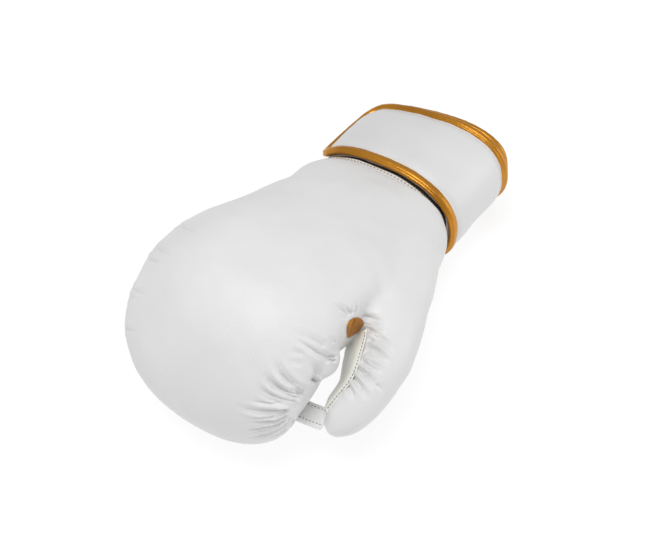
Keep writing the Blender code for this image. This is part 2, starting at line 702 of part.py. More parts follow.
def panel_grid(lift, margin):
    """The flat inner side of the thumb as a grid, raised by lift, its edges moved in by margin."""
    rows = np.interp(
        np.linspace(PANEL_START, PANEL_END, PANEL_STATIONS), THUMB["along"], np.arange(len(THUMB_SECTIONS))
    )
    fine = np.linspace(0, len(THUMB_SECTIONS) - 1, 200)
    frame = thumb_frame(fine)
    out, up, _ = thumb_axes(frame)
    grid = []
    for place in rows:
        k = int(np.argmin(np.abs(fine - place)))
        thick, deep = frame["thick"][k], frame["deep"][k]
        ring = oval(thick, thick, deep, deep, THUMB_SQUARENESS, THUMB_SQUARENESS, (60, 60, 60, 60))
        flat = ring[ring[:, 0] < -INNER_FLAT * thick + INNER_SLOPE * ring[:, 1]]
        low, high = flat[:, 1].min() + margin, flat[:, 1].max() - margin
        heights = np.linspace(low, high, PANEL_POINTS)[:, None]
        across = -INNER_FLAT * thick + INNER_SLOPE * heights
        grid.append(frame["centre"][k] + (across - lift) * out[k] + heights * up[k])
    return np.array(grid)


def make_inner_panel(material):
    lift = 2 * SEAM_GAP
    top = panel_grid(lift + PANEL_THICKNESS, SEAM_GAP)
    return slab("thumb_inner_panel", top, panel_grid(lift, SEAM_GAP), material)


def thumb_point(share):
    """Middle of the thumb at a share of its length."""
    places = np.interp(share, THUMB["along"], np.arange(len(THUMB_SECTIONS)))
    frame = thumb_frame(np.array([places]))
    return {name: value[0] for name, value in frame.items()}


def make_gusset(material):
    """The wedge of leather in the crotch between thumb and hand; the cutters trim its sides to them."""
    at = thumb_point(GUSSET_AT)
    heights = np.linspace(*GUSSET_UP, 6) * THUMB_DEPTH / 2
    across = np.linspace(*GUSSET_ACROSS, 7) * THUMB_THICKNESS / 2
    dish = np.linspace(-1, 1, len(across)) ** 2 * GUSSET_DISH * GUSSET_LENGTH
    front, back = [], []
    for height in heights:
        dip = ease(height / THUMB_DEPTH - GUSSET_UP[0]) * GUSSET_DIP * GUSSET_LENGTH
        x = at["centre"][0] + across + height * GUSSET_LEAN
        y = at["centre"][1] - GUSSET_LENGTH / 2 + dip - dish
        z = at["centre"][2] + height - GUSSET_TILT * (across - across.mean())
        front.append(np.stack([x, y, z], axis=1))
        back.append(np.stack([x, 0 * x + at["centre"][1] + GUSSET_BACK * GUSSET_LENGTH, z], axis=1))
    return slab("thumb_gusset", np.array(front), np.array(back), material)


def make_tether(material):
    """The flat strap that ties the thumb's tip to the fist; the cutters trim its ends."""
    at = thumb_point(TETHER_AT)
    across = np.linspace(*TETHER_ACROSS, 7) * THUMB_THICKNESS / 2
    sag = np.linspace(-1, 1, len(across)) ** 2 * TETHER_SAG * TETHER_WIDTH
    half = np.array([0, 0, TETHER_THICKNESS / 2])
    top, bottom = [], []
    for x, raised in zip(across, sag):
        y = np.linspace(-0.5, 0.5, 3) * TETHER_WIDTH + TETHER_SLOPE * x
        row = at["centre"] + np.stack([x + 0 * y, y, raised + 0 * y], axis=1)
        top.append(row + half)
        bottom.append(row - half)
    return slab("thumb_tether", np.array(top), np.array(bottom), material)


def thumb_hollow():
    """The hollow that the thumb goes into, from the hand's own hollow to near the tip."""
    reach = np.interp([0.0, HOLLOW_REACH], THUMB["along"], np.arange(len(THUMB_SECTIONS)))
    return thumb_rings(np.linspace(*reach, THUMB_HOLLOW_RINGS), THUMB_HOLLOW_QUARTERS, THUMB_PAD)


def leather(name, colour, roughness, metallic=0.0):
    material = bpy.data.materials.new(name)
    material.use_nodes = True
    shader = material.node_tree.nodes["Principled BSDF"]
    shader.inputs["Base Color"].default_value = (*colour, 1)
    shader.inputs["Roughness"].default_value = roughness
    shader.inputs["Metallic"].default_value = metallic
    material.diffuse_color = (*colour, 1)
    return material


def cut(obj, cutter):
    boolean = obj.modifiers.new("cut_by_" + cutter.name, "BOOLEAN")
    boolean.operation = "DIFFERENCE"
    boolean.solver = "EXACT"
    boolean.object = cutter


def as_cutter(obj, collection):
    obj.hide_render = True
    obj.display_type = "WIRE"
    collection.objects.link(obj)
    return obj


def new_collection(name):
    collection = bpy.data.collections.new(name)
    bpy.context.scene.collection.children.link(collection)
    return collection


def lowest_and_highest(objects):
    graph = bpy.context.evaluated_depsgraph_get()
    corners = [obj.matrix_world @ Vector(c) for obj in objects for c in obj.evaluated_get(graph).bound_box]
    return [Vector([pick(c[k] for c in corners) for k in range(3)]) for pick in (min, max)]


def build():
    for obj in list(bpy.data.objects):
        bpy.data.objects.remove(obj)
    glove = new_collection("boxing_glove")
    cutters = new_collection("cutters")

    hand = loft("hand_shell", hand_surface(), leather("hand_leather", WHITE, 0.42))
    thumb = loft("thumb_shell", thumb_surface(), leather("thumb_leather", WHITE, 0.42))
    panel = make_inner_panel(leather("panel_leather", CREAM, 0.50))
    gusset = make_gusset(leather("gusset_leather", GOLD, 0.35, 0.4))
    tether = make_tether(leather("tether_leather", WHITE, 0.45))
    cuff = make_cuff(leather("cuff_leather", WHITE, 0.45))
    rim = make_rim_binding(leather("rim_leather", GOLD, 0.35, 0.4))
    strap = make_strap(leather("strap_leather", WHITE, 0.40))
    binding = make_strap_binding(leather("binding_leather", GOLD, 0.32, 0.4))
    pieces = [hand, thumb, panel, gusset, tether, cuff, rim, strap, binding]
    for piece in pieces:
        glove.objects.link(piece)

    hand_clear = as_cutter(loft("hand_clear", hand_surface(SEAM_GAP)), cutters)
    thumb_clear = as_cutter(loft("thumb_clear", thumb_surface(SEAM_GAP)), cutters)
    hollow = as_cutter(loft("hand_hollow", hollow_rings()), cutters)
    thumb_room = as_cutter(loft("thumb_hollow", thumb_hollow()), cutters)
    above_panel = panel_grid(3 * SEAM_GAP + PANEL_THICKNESS, -SEAM_GAP)
    below_panel = panel_grid(-SEAM_GAP, -SEAM_GAP)
    panel_clear = as_cutter(slab("panel_clear", above_panel, below_panel), cutters)

    cut(hand, hollow)
    cut(hand, thumb_room)
    cut(thumb, hand_clear)
    cut(thumb, thumb_room)
    for piece in (panel, gusset, tether):
        cut(piece, hand_clear)
    for piece in (gusset, tether):
        cut(piece, thumb_clear)
    cut(tether, panel_clear)

    bpy.context.view_layer.update()
    low, high = lowest_and_highest(pieces)
    place = bpy.data.objects.new("glove_origin", None)
    glove.objects.link(place)
    for obj in pieces + list(cutters.objects):
        obj.parent = place
    place.location = (-(low.x + high.x) / 2, -(low.y + high.y) / 2, -low.z)
    for piece in pieces:
        piece.data.shade_smooth()
    bpy.context.view_layer.update()


if __name__ == "__main__":
    build()
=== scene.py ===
"""Looks of the boxing glove: its leather, folds, bindings and stitches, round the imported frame.

The shapes are worked out as in the model: metres, the cuff's seam at y = 0, knuckles towards -Y, table
at z = 0. MOVE, read from the frame, then takes them to their place.
"""

import json
import math

import bmesh
import bpy
import numpy as np
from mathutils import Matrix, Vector
from mathutils.bvhtree import BVHTree

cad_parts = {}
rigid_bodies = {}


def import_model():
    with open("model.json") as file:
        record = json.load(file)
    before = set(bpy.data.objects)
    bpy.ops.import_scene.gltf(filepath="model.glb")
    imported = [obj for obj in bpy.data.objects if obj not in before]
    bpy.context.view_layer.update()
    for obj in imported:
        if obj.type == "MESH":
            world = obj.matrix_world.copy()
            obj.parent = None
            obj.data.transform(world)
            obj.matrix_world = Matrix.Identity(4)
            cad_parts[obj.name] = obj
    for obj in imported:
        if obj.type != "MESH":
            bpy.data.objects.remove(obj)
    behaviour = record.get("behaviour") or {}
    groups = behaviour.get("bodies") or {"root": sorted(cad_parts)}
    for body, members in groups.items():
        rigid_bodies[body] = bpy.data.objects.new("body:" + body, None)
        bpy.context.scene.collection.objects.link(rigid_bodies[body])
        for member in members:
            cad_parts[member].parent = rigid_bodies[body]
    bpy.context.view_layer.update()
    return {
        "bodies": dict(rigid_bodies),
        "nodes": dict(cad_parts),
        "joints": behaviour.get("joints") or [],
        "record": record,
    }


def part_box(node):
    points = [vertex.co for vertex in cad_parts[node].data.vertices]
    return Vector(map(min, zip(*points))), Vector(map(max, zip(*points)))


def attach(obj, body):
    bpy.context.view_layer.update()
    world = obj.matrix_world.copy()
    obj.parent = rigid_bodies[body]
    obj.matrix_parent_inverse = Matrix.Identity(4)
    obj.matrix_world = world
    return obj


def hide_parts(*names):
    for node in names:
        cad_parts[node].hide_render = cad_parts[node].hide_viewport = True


# Camera: where it stands round a point of the glove, and the photograph's frame in pixels
CAMERA_AZIMUTH = 37
CAMERA_ELEVATION = 50
CAMERA_DISTANCE = 0.600
LOOK_AT = np.array([0.0, -0.070, 0.050])
PHOTO_SIZE = (650, 533)
PHOTO_MIDDLE = (323, 264)
FOCAL_PIXELS = 903
SENSOR_WIDTH = 36.0

# Studio: how bright the sky is, each softbox's power, size and place, and the light table. The top one's
# place is in the frame's axes, the others' are along the camera's right, up and backward directions
SKY = 0.40
TOP_POWER = 7.4
TOP_SIZE = 0.8
TOP_PLACE = (-0.02, -0.22, 1.26)
FRONT_POWER = 2.6
FRONT_SIZE = 0.7
FRONT_PLACE = (-0.25, 0.35, 1.3)
SIDE_POWER = 3.6
SIDE_SIZE = 0.9
SIDE_PLACE = (1.3, 0.3, 0.4)
FLOOR_HALF = 4.0
FLOOR_DROP = 0.0002
FLOOR_REFLECTS = 0.25
FLOOR_GLOWS = 0.80

# Hand and fist
HAND_LENGTH = 0.214
FIST_HEIGHT = 0.125
FIST_WIDTH = 0.133
WRIST_WIDTH = 0.112
WRIST_HEIGHT = 0.074
WRIST_SWELL = 0.0036
WRIST_SWELL_AT = -0.010
WRIST_SWELL_LENGTH = 0.019
KNUCKLE_PAD = 0.036
SIDE_PAD = 0.018
PALM_WALL = 0.004
FINGER_LINING = 0.008

# Thumb
THUMB_LENGTH = 0.137
THUMB_THICKNESS = 0.036
THUMB_DEPTH = 0.058
THUMB_SPREAD = 0.043
THUMB_PAD = 0.011
PANEL_THICKNESS = 0.0014
PANEL_CROWN = 0.0008
PANEL_EDGE_SUNK = 0.72
PANEL_MARGIN = 0.0004
PANEL_SUNK = 0.0012
TETHER_WIDTH = 0.013
TETHER_THICKNESS = 0.0032
TETHER_SLOPE = 0.20
TETHER_TILT = 0.35
TETHER_REACH = (-1.55, -0.20)
TETHER_SAG = 0.10

# Cuff, strap and their bindings
CUFF_STEP = 0.0015
CUFF_FLARE = 0.0045
CUFF_DROP = 0.002
CUFF_RISE = 0.009
CUFF_ROLL = 11.5
CUFF_ROLL_AT_SEAM = 0.3
CUFF_SQUARING = 0.2
CUFF_BORDER = 0.0055
CUFF_RIM = 0.0012
CUFF_WALL = 0.009
CUFF_SLIT = 0.007
CUFF_ROUND = 0.0022
CUFF_END_RINGS = 6
CUFF_LINING_CROWN = 0.0008
CUFF_DIP = 0.0024
CUFF_DIP_WIDTH = 0.0013
# Where the near-black painted shadow under the strap's edge starts past the cuff's border, and how wide
# it is
SHADOW_STRIP_START = 0.0004
SHADOW_STRIP_WIDTH = 0.0020
LIP_HEIGHT = 0.0012
LIP_AT = 0.0026
LIP_WIDTH = 0.0022
STRAP_WIDTH = 0.069
STRAP_THICKNESS = 0.0038
STRAP_LIFT = 0.0011
STRAP_SLANT = 0.008
STRAP_END_RADIUS_FRONT = 0.011
STRAP_END_RADIUS_REAR = 0.021
STRAP_ROOT_RADIUS = 0.0095
STRAP_UNDER_BINDING = 0.62
STRAP_CROWN = 0.0012
STRAP_CROWN_EDGE = 0.010
STRAP_CHANNEL = 0.0008
STRAP_CHANNEL_AT = 0.0035
STRAP_CHANNEL_WIDTH = 0.0012
STRAP_TOP_SUNK = 0.0004
BINDING_WIDTH = 0.0070
BINDING_THICKNESS = 0.0056
GROOVE_DEPTH = 0.24
GROOVE_WIDTH = 9
GROOVE_ANGLES = (148, 62)
BINDING_SQUARENESS = 2.2
RIM_BINDING_LENGTH = 0.0062
RIM_SQUARENESS = 2.6
RIM_END_RINGS = 7
RIM_END_CUT = 0.93
SEAM_GAP = 0.0003

# Sections of the hand, from the cuff seam over the knuckles and round to the fingertips
HAND_COLUMNS = ("along", "lift", "turn", "fist", "inner", "outer", "thumb", "pinky")
HAND_SECTIONS = (
    (0.000, 0.034, 0, 0.00, 0.000, 1.000, 0.452, 0.545),
    (0.070, 0.048, 0, 0.10, 0.000, 1.000, 0.480, 0.552),
    (0.210, 0.112, 0, 0.35, 0.000, 0.905, 0.521, 0.492),
    (0.400, 0.216, 0, 0.70, 0.000, 0.793, 0.495, 0.472),
    (0.550, 0.336, 0, 0.90, 0.020, 0.678, 0.466, 0.482),
    (0.635, 0.416, 8, 1.00, 0.056, 0.588, 0.474, 0.490),
    (0.635, 0.416, 36, 1.00, 0.056, 0.612, 0.480, 0.486),
    (0.635, 0.416, 66, 1.00, 0.056, 0.627, 0.475, 0.472),
    (0.635, 0.416, 96, 1.00, 0.056, 0.596, 0.430, 0.438),
    (0.635, 0.416, 126, 1.00, 0.056, 0.538, 0.385, 0.404),
    (0.635, 0.416, 152, 1.00, 0.056, 0.470, 0.345, 0.380),
    (0.635, 0.416, 178, 1.00, 0.060, 0.424, 0.305, 0.385),
    (0.635, 0.416, 202, 1.00, 0.075, 0.408, 0.275, 0.365),
    (0.635, 0.416, 220, 1.00, 0.110, 0.360, 0.235, 0.330),
    (0.635, 0.416, 230, 1.00, 0.170, 0.290, 0.160, 0.260),
)
UPRIGHT_ROWS = 5
OUTER_SQUARENESS = 2.3
PALM_SQUARENESS = 3.0

# The hollow that the hand goes into
HOLLOW_COLUMNS = ("section", "pad", "side", "palm", "lining")
HOLLOW_SECTIONS = (
    (0.0, 0.30, 0.50, 1.3, 0.0),
    (1.0, 0.45, 0.60, 1.5, 0.0),
    (2.0, 0.85, 0.80, 2.0, 0.0),
    (3.0, 1.00, 1.00, 2.0, 0.0),
    (4.0, 1.00, 1.00, 1.5, 0.3),
    (5.0, 1.00, 1.00, 0.5, 1.0),
    (7.0, 1.00, 1.00, 0.5, 1.0),
    (9.0, 0.92, 1.00, 0.5, 1.0),
    (10.5, 0.60, 1.00, 0.5, 1.0),
    (11.6, 0.56, 1.25, 0.8, 1.6),
)

# The thumb, from its root inside the hand to its tip
THUMB_COLUMNS = ("along", "side", "lift", "thick", "deep", "lean")
THUMB_SECTIONS = (
    (0.00, 0.00, 0.440, 0.75, 0.70, 4),
    (0.18, 0.32, 0.450, 0.95, 0.88, 9),
    (0.36, 0.52, 0.465, 1.00, 0.97, 15),
    (0.50, 0.64, 0.465, 1.13, 1.02, 15),
    (0.64, 0.795, 0.445, 1.05, 0.97, 20),
    (0.77, 0.875, 0.410, 0.84, 0.86, 21.5),
    (0.88, 0.83, 0.365, 0.72, 0.70, 20),
    (0.935, 0.76, 0.335, 0.52, 0.50, 16),
    (0.965, 0.68, 0.322, 0.26, 0.26, 14),
)
THUMB_ROOT_ALONG = 0.140
THUMB_ROOT_SIDE = 0.316
INNER_FLAT = 0.87
INNER_SLOPE = 0.085
THUMB_SQUARENESS = 2.5
THUMB_BLEND = 0.016
BLEND_ENDS = 0.50
BLEND_FADE = 0.12
PANEL_START = 0.575
PANEL_END = 0.93
TETHER_AT = 0.94
HOLLOW_REACH = 0.90

# Places round the cuff, degrees from the thumb side over the back
STRAP_END_ANGLE = 149.5
STRAP_ROOT_ANGLE = -128
SLIT_ANGLE = -90
SLIT_HALF_ANGLE = math.degrees(CUFF_SLIT / WRIST_WIDTH)
ARC_MARGIN = 40
ARC_POINTS = 1500

# Folds that the photograph shows, as lines on the skin: pixels of the photograph, across and down, where
# a fold starts, at its middle and where it fades out, then its depth and half width, which FOLD_DEPTH and
# FOLD_WIDTH turn into metres
FIST_FOLDS = (
    (306, 395, 280.5, 389.5, 262, 369, 3.2, 2.1),
    (306, 391, 286.5, 379.5, 271, 353, 2.4, 2.1),
    (299, 402, 276, 397.5, 254, 385, 2.3, 2.0),
    (290, 410.6, 261.5, 412, 231, 403.5, 2.2, 2.0),
    (286, 416, 261, 417.6, 236, 415.6, 1.2, 1.5),
    (288, 415.5, 268, 422.4, 238, 421.8, 2.0, 2.0),
    (286, 420.5, 262, 429, 236, 431, 1.5, 1.8),
    (287, 422, 268, 434, 241, 438, 1.4, 1.8),
    (288.5, 423, 279, 434, 260, 441.5, 1.2, 1.6),
    (290, 417, 287.5, 428, 280, 438.5, 1.3, 1.5),
    (293, 418, 293.5, 426, 289.5, 435, 1.0, 1.3),
    (282, 403.5, 264, 403, 247, 399, 0.9, 1.4),
    (333, 359.8, 311.5, 348.8, 285, 329.5, 1.5, 1.7),
    (325, 347, 309, 337.3, 284, 326, 1.0, 1.7),
    (336, 357.2, 331, 356.4, 325, 355.6, 1.5, 1.0),
    (335.5, 361, 330.5, 359.8, 325, 358.8, 1.5, 1.0),
    (311.5, 380.5, 316.5, 371, 307.5, 360.5, 2.4, 2.0),
    (318, 382.2, 314, 380.8, 310, 379.2, 3.4, 1.3),
    (332.5, 344, 330.5, 339, 327.5, 335, 0.6, 1.2),
    (335, 342.5, 333.5, 338.5, 332, 334, 0.6, 1.2),
    (304, 354.2, 296, 352.5, 288, 351.8, 0.5, 1.5),
    (303, 364, 295, 362.2, 287, 361.8, 0.5, 1.5),
    (350, 316, 342, 308.5, 331, 302, 1.4, 1.5),
    (347, 320, 340, 314.5, 332, 310, 0.7, 1.4),
    (353, 314.5, 348.5, 309, 341, 299.5, 1.2, 1.3),
    (356.5, 313, 357, 307, 356, 299, 1.1, 1.2),
)
EDGE_FOLDS = (
    (172, 219, 187, 228, 203, 236, 1.1, 2.3),
    (145, 244, 160, 249.5, 177, 256, 1.3, 2.2),
    (138, 256, 153, 260.5, 168, 266, 1.0, 2.0),
    (119, 287, 134, 291, 152, 297, 1.2, 2.1),
    (116, 293.5, 131, 297, 145, 302, 0.8, 1.7),
    (112, 328, 127, 330, 141, 333, 0.8, 1.8),
)
THUMB_FOLDS = (
    (362, 317, 375, 317.8, 388, 320.5, 1.4, 1.5),
    (364, 321.5, 375, 322.5, 387, 328.5, 1.4, 1.6),
    (365, 328.5, 376, 332, 390, 343.5, 1.8, 1.8),
    (365.5, 339.3, 383, 342.5, 397.5, 360, 2.2, 1.9),
    (364, 346.8, 378.5, 353.5, 391.5, 369, 2.4, 1.9),
    (362, 351.5, 369, 354.5, 376, 359.5, 1.5, 1.5),
    (359.5, 360, 371.5, 366.5, 384, 373, 2.0, 1.8),
    (354.5, 367.5, 367, 378.5, 378, 394, 2.1, 1.9),
    (349, 375, 360, 386.5, 367.5, 403, 2.0, 1.8),
    (344, 382, 350.5, 390, 355.5, 401, 1.7, 1.7),
    (377.5, 384, 381, 388, 384.5, 394, 1.0, 1.3),
)

# How a crease is shaped across: how pointed its bottom is, and the swellings on both sides of it. The
# fades are shares of its length over which it starts and ends
CREASE_POINTED = 1.15
CREASE_NARROWED = 1.35
SWELL_HEIGHT = 0.30
SWELL_AT = 2.0
SWELL_WIDTH = 0.95
FOLD_DEPTH = 0.0014
FOLD_WIDTH = 0.00088
FOLD_POINTS = 60
FOLD_JUMP = 0.008
FOLD_FADES = (0.10, 0.60)
EDGE_FADES = (0.02, 0.60)
CREASE_REACH = 4.0
REFINED_REACH = (1.9, 0.45)
REFINED_SMOOTHED = 2

# Shallow wrinkles beside the folds: pixels off them, and the share of their depth and width
WRINKLE_SEED = 12
WRINKLE_OFFSET = (2.4, 4.6)
WRINKLE_DEPTH = (0.18, 0.42)
WRINKLE_WIDTH = 0.6

# The pinky seam: its angle round the section, the rows of the hand that it runs over, and its groove
PINKY_SEAM_ANGLE = 190
SEAM_ROWS = (0.3, 12.5)
SEAM_STEP = 0.0008
GROOVE = 0.0010
GROOVE_HALF = 0.0015
GROOVE_FADES = (0.02, 0.04)

# Puckers along that seam: how far apart, long, deep and wide, and the shares that each one varies between
PUCKER_SEED = 3
PUCKER_SPACING = 0.0105
PUCKER_SPACINGS = (0.6, 1.5)
PUCKER_LENGTH = 0.019
PUCKER_LENGTHS = (0.55, 1.25)
PUCKER_SLOPE = 0.35
PUCKER_DEPTH = 0.0011
PUCKER_DEPTHS = (0.35, 1.0)
PUCKER_WIDTH = 0.0016
PUCKER_WIDTHS = (0.8, 1.5)
PUCKER_COLUMNS = 60
PUCKER_STEP = 0.0006
PUCKER_FADES = (0.05, 0.75)

# Unevenness of the leather: how high, how far from bump to bump, and the seed of each layer. The
# bindings' heights are shares of their thickness
SKIN_UNEVEN = ((0.00045, 0.050, 5), (0.00016, 0.017, 6))
SKIN_EVEN_AT_SEAM = 0.02
CUFF_UNEVEN = (0.0002, 0.02, 11)
STRAP_UNEVEN = (0.00022, 0.030, 31)
BINDING_UNEVEN = ((0.022, 0.011, 0), (0.016, 0.004, 1))
RIM_SEED = 21
BINDING_SEED = 41

# Gathers at the pinky side that show as notches in the outline, as in the model: each one's section row,
# reach up the side, lean, depth and width
GATHER_DEPTH = 0.0024
GATHER_WIDTH = 0.0052
GATHER_START = 0.10
GATHER_FADE = 0.85
GATHER_CURVE = 1.3
SHOULDER_HEIGHT = 0.45
SHOULDER_WIDTH = 2.1
PINKY_GATHERS = (
    (5.10, 0.10, 0.0, 0.42, 0.7),
    (5.95, 0.12, 0.0, 0.55, 0.8),
    (6.75, 0.11, 0.0, 0.45, 0.7),
    (7.55, 0.13, 0.0, 0.55, 0.8),
    (8.40, 0.11, 0.0, 0.40, 0.7),
)

# The leather that fills the valley between hand and thumb: middle and half sizes
WEB_CENTRE = (0.0615, -0.1005, 0.0735)
WEB_SIZE = (0.0125, 0.0135, 0.0150)

# The roll of leather at the fist's edge, next to the thumb
ROLL_CENTRE = (0.060, -0.149, 0.083)
ROLL_SIZE = (0.0085, 0.0110, 0.0100)

# The gold piece in the crotch: pixels of the photograph down its left and right edge and along its crease
GUSSET_LEFT = ((353.0, 317.8), (349.0, 321.0), (346.8, 326.0), (346.3, 332.0), (347.0, 338.0))
GUSSET_RIGHT = ((358.0, 317.2), (362.5, 319.5), (364.0, 324.5), (358.5, 332.0), (349.0, 338.0))
GUSSET_CREASE = ((356.0, 317.0), (348.5, 335.0))
GUSSET_LIFT = 0.0006
GUSSET_FULL = 0.0026
GUSSET_THICKNESS = 0.0028
GUSSET_CREASE_DEPTH = 0.0024
GUSSET_CREASE_PIXELS = 1.0
GUSSET_LOWER = 0.0012
GUSSET_LOWER_PIXELS = 6
GUSSET_EDGE = 16
GUSSET_SMOOTHED = 30
GUSSET_ROUND_EDGE = 0.7

# How much of its thickness a thin piece keeps at its rim and one step in from it
PLATE_EDGE = 0.35
PLATE_SECOND_RING = 0.85

# Mesh fineness: rings, points round a ring, and how much closer they are at the ends
SKIN_VOXEL = 0.00165
SKIN_SMOOTHED = 5
OVAL_POINTS = 240
FINE_PLACES = 2400
THUMB_RINGS = 70
THUMB_FINE_PLACES = 800
THUMB_NEAR_PLACES = 60
HAND_NEAR_PLACES = 80
HOLLOW_RINGS = 48
THUMB_HOLLOW_RINGS = 26
BULGE_GRID = (24, 32)
BULGE_TIP = 0.05
CUFF_RINGS = 180
CUFF_POINTS = 200
CORNER_POINTS = 8
SLIT_CROWDING = 0.10
RIM_PLACES = 40
RIM_RINGS = 230
RIM_POINTS = 24
STRAP_GRID = (260, 34)
STRAP_CROWDING = (0.12, 0.06)
STRAP_ARC_POINTS = 40
BINDING_ARC_POINTS = 30
BINDING_STEP = 0.0014
BINDING_POINTS = 40
PANEL_GRID = (60, 22)
PANEL_QUARTERS = (60, 60, 60, 60)
GUSSET_GRID = (36, 26)
TETHER_GRID = (30, 13)
STITCH_ANGLES = 900
PANEL_STITCH_GRID = (120, 9)
HAND_QUARTERS = (44, 42, 32, 32)
THUMB_QUARTERS = (24, 24, 24, 24)
HOLLOW_QUARTERS = (12, 12, 12, 12)
HAND_STEP = 0.0026

# Stitches: how far apart, how long and how thick; how each one bows out and sinks in, in radii; and how
# far the rows are from the cuff's seam or rim, with the share of the lip that they are raised by
COARSE_STITCH = (0.0028, 0.0019, 0.00028)
FINE_STITCH = (0.0022, 0.0014, 0.00022)
STITCH_SIDES = 6
STITCH_RINGS = 7
STITCH_BOW = 1.6
STITCH_SUNK = 1.1
STITCH_TAPER = 0.75
STITCH_LIFT = 0.0001
SEAM_STITCHES = (0.0019, 0.9)
BORDER_STITCHES = (0.0036, 0.8)
RIM_STITCHES_AT = 0.0016
PANEL_LOW_MARGIN = 0.0016
PANEL_STITCH_ENDS = 4

# Leather: scale and detail of its pores and of the slow changes of colour
COAT_ROUGHNESS = 0.35
PORE_SCALE = 0.45
PORE_HEIGHT = 0.7
GRAIN_DEPTH = 0.0003
PATCH_SCALE = 26
THREAD_SCALE = 900
THREAD_DEPTH = 0.0002


def columns(names, rows):
    """The table as a dict of column name to array."""
    return dict(zip(names, np.array(rows, float).T))


HAND = columns(HAND_COLUMNS, HAND_SECTIONS)
HOLLOW = columns(HOLLOW_COLUMNS, HOLLOW_SECTIONS)
THUMB = columns(THUMB_COLUMNS, THUMB_SECTIONS)


def smooth_between(values, at):
    """Catmull-Rom curve through values at 0, 1, 2..., read at the places in at."""
    values = np.asarray(values, float)
    last = len(values) - 1
    at = np.clip(np.asarray(at, float), 0, last)
    i = np.minimum(at.astype(int), last - 1)
    u = at - i
    before, start, end, after = (values[np.clip(i + k, 0, last)] for k in (-1, 0, 1, 2))
    before = np.where(i == 0, 2 * start - end, before)
    after = np.where(i + 1 == last, 2 * end - start, after)
    slope_in, slope_out = (end - before) / 2, (after - start) / 2
    rise = end - start
    square = 3 * rise - 2 * slope_in - slope_out
    cube = slope_in + slope_out - 2 * rise
    return start + u * (slope_in + u * (square + u * cube))


def ease(x):
    """0 below 0, 1 above 1, smooth between."""
    x = np.clip(x, 0, 1)
    return x * x * (3 - 2 * x)


def bell(x):
    """1 at 0, falling away smoothly on both sides."""
    return np.exp(-(x**2))


def lengths_along(line):
    """Length of the line from its start to each of its points."""
    return np.concatenate([[0], np.cumsum(np.linalg.norm(np.diff(line, axis=0), axis=1))])


def read_line(line, passed, wanted):
    """Points of the line at the wanted lengths, where passed are the lengths at its own points."""
    return np.stack([np.interp(wanted, passed, column) for column in line.T], axis=-1)


def steps_from_end(count):
    """How many steps each of so many rings is from the nearer end."""
    return np.minimum(np.arange(count), np.arange(count)[::-1])


def hand_frame(at):
    """Pivot, height, width and turn of the hand's section at each place in at, in section rows."""
    row = {name: smooth_between(HAND[name], at) for name in HAND_COLUMNS}
    height = WRIST_HEIGHT + (FIST_HEIGHT - WRIST_HEIGHT) * row["fist"]
    width = WRIST_WIDTH + (FIST_WIDTH - WRIST_WIDTH) * row["fist"]
    return {
        "y": -row["along"] * HAND_LENGTH,
        "z": row["lift"] * FIST_HEIGHT,
        "turn": np.radians(row["turn"]),
        "inner": row["inner"] * height,
        "outer": row["outer"] * height,
        "thumb": row["thumb"] * width,
        "pinky": row["pinky"] * width,
    }


def oval(right, left, top, bottom, squareness_top, squareness_bottom, quarters):
    """Points round an oval about (0, 0), evenly spaced in each quarter, from the right over the top."""
    sides = ((right, top), (left, top), (left, bottom), (right, bottom))
    points = []
    for k, (count, (across, up)) in enumerate(zip(quarters, sides)):
        squareness = squareness_top if k < 2 else squareness_bottom
        angle = np.radians(90) * (k + np.linspace(0, 1, OVAL_POINTS))
        c, s = np.cos(angle), np.sin(angle)
        x = across * np.sign(c) * np.abs(c) ** (2 / squareness)
        z = up * np.sign(s) * np.abs(s) ** (2 / squareness)
        length = np.concatenate([[0], np.cumsum(np.hypot(np.diff(x), np.diff(z)))])
        wanted = np.linspace(0, length[-1], count, endpoint=False)
        points += list(zip(np.interp(wanted, length, x), np.interp(wanted, length, z)))
    return np.array(points)


def hand_ring(frame, quarters, pad=0.0, side=0.0, palm=0.0):
    """One section of the hand as points in space, moved in from the surface by the three walls."""
    low, high = frame["inner"] + palm, frame["outer"] - pad
    middle, half = (low + high) / 2, (high - low) / 2
    right, left = frame["thumb"] - side, frame["pinky"] - side
    ring = oval(right, left, half, half, OUTER_SQUARENESS, PALM_SQUARENESS, quarters)
    away = middle + ring[:, 1]
    return np.stack(
        [
            ring[:, 0],
            frame["y"] - away * math.sin(frame["turn"]),
            frame["z"] + away * math.cos(frame["turn"]),
        ],
        axis=1,
    )


def hand_places(step):
    """Where the hand's rings are, in section rows: evenly spaced over the padded side."""
    fine = np.linspace(0, len(HAND_SECTIONS) - 1, FINE_PLACES)
    frame = hand_frame(fine)
    y = frame["y"] - frame["outer"] * np.sin(frame["turn"])
    z = frame["z"] + frame["outer"] * np.cos(frame["turn"])
    passed = np.concatenate([[0], np.cumsum(np.hypot(np.diff(y), np.diff(z)))])
    return np.interp(np.linspace(0, passed[-1], round(passed[-1] / step)), passed, fine)


def normals_of(rings):
    """Outward unit normals of a grid of rings, each ring closed."""
    round_ring = np.roll(rings, -1, axis=1) - np.roll(rings, 1, axis=1)
    along = np.gradient(rings, axis=0)
    normal = np.cross(round_ring, along)
    return normal / np.maximum(np.linalg.norm(normal, axis=2, keepdims=True), 1e-12)


def past_pinky_seam():
    """Degrees round the hand's section from the pinky seam to each ring point, -180 to 180."""
    angles = np.concatenate([90 * (k + np.arange(n) / n) for k, n in enumerate(HAND_QUARTERS)])
    return (angles - PINKY_SEAM_ANGLE + 180) % 360 - 180


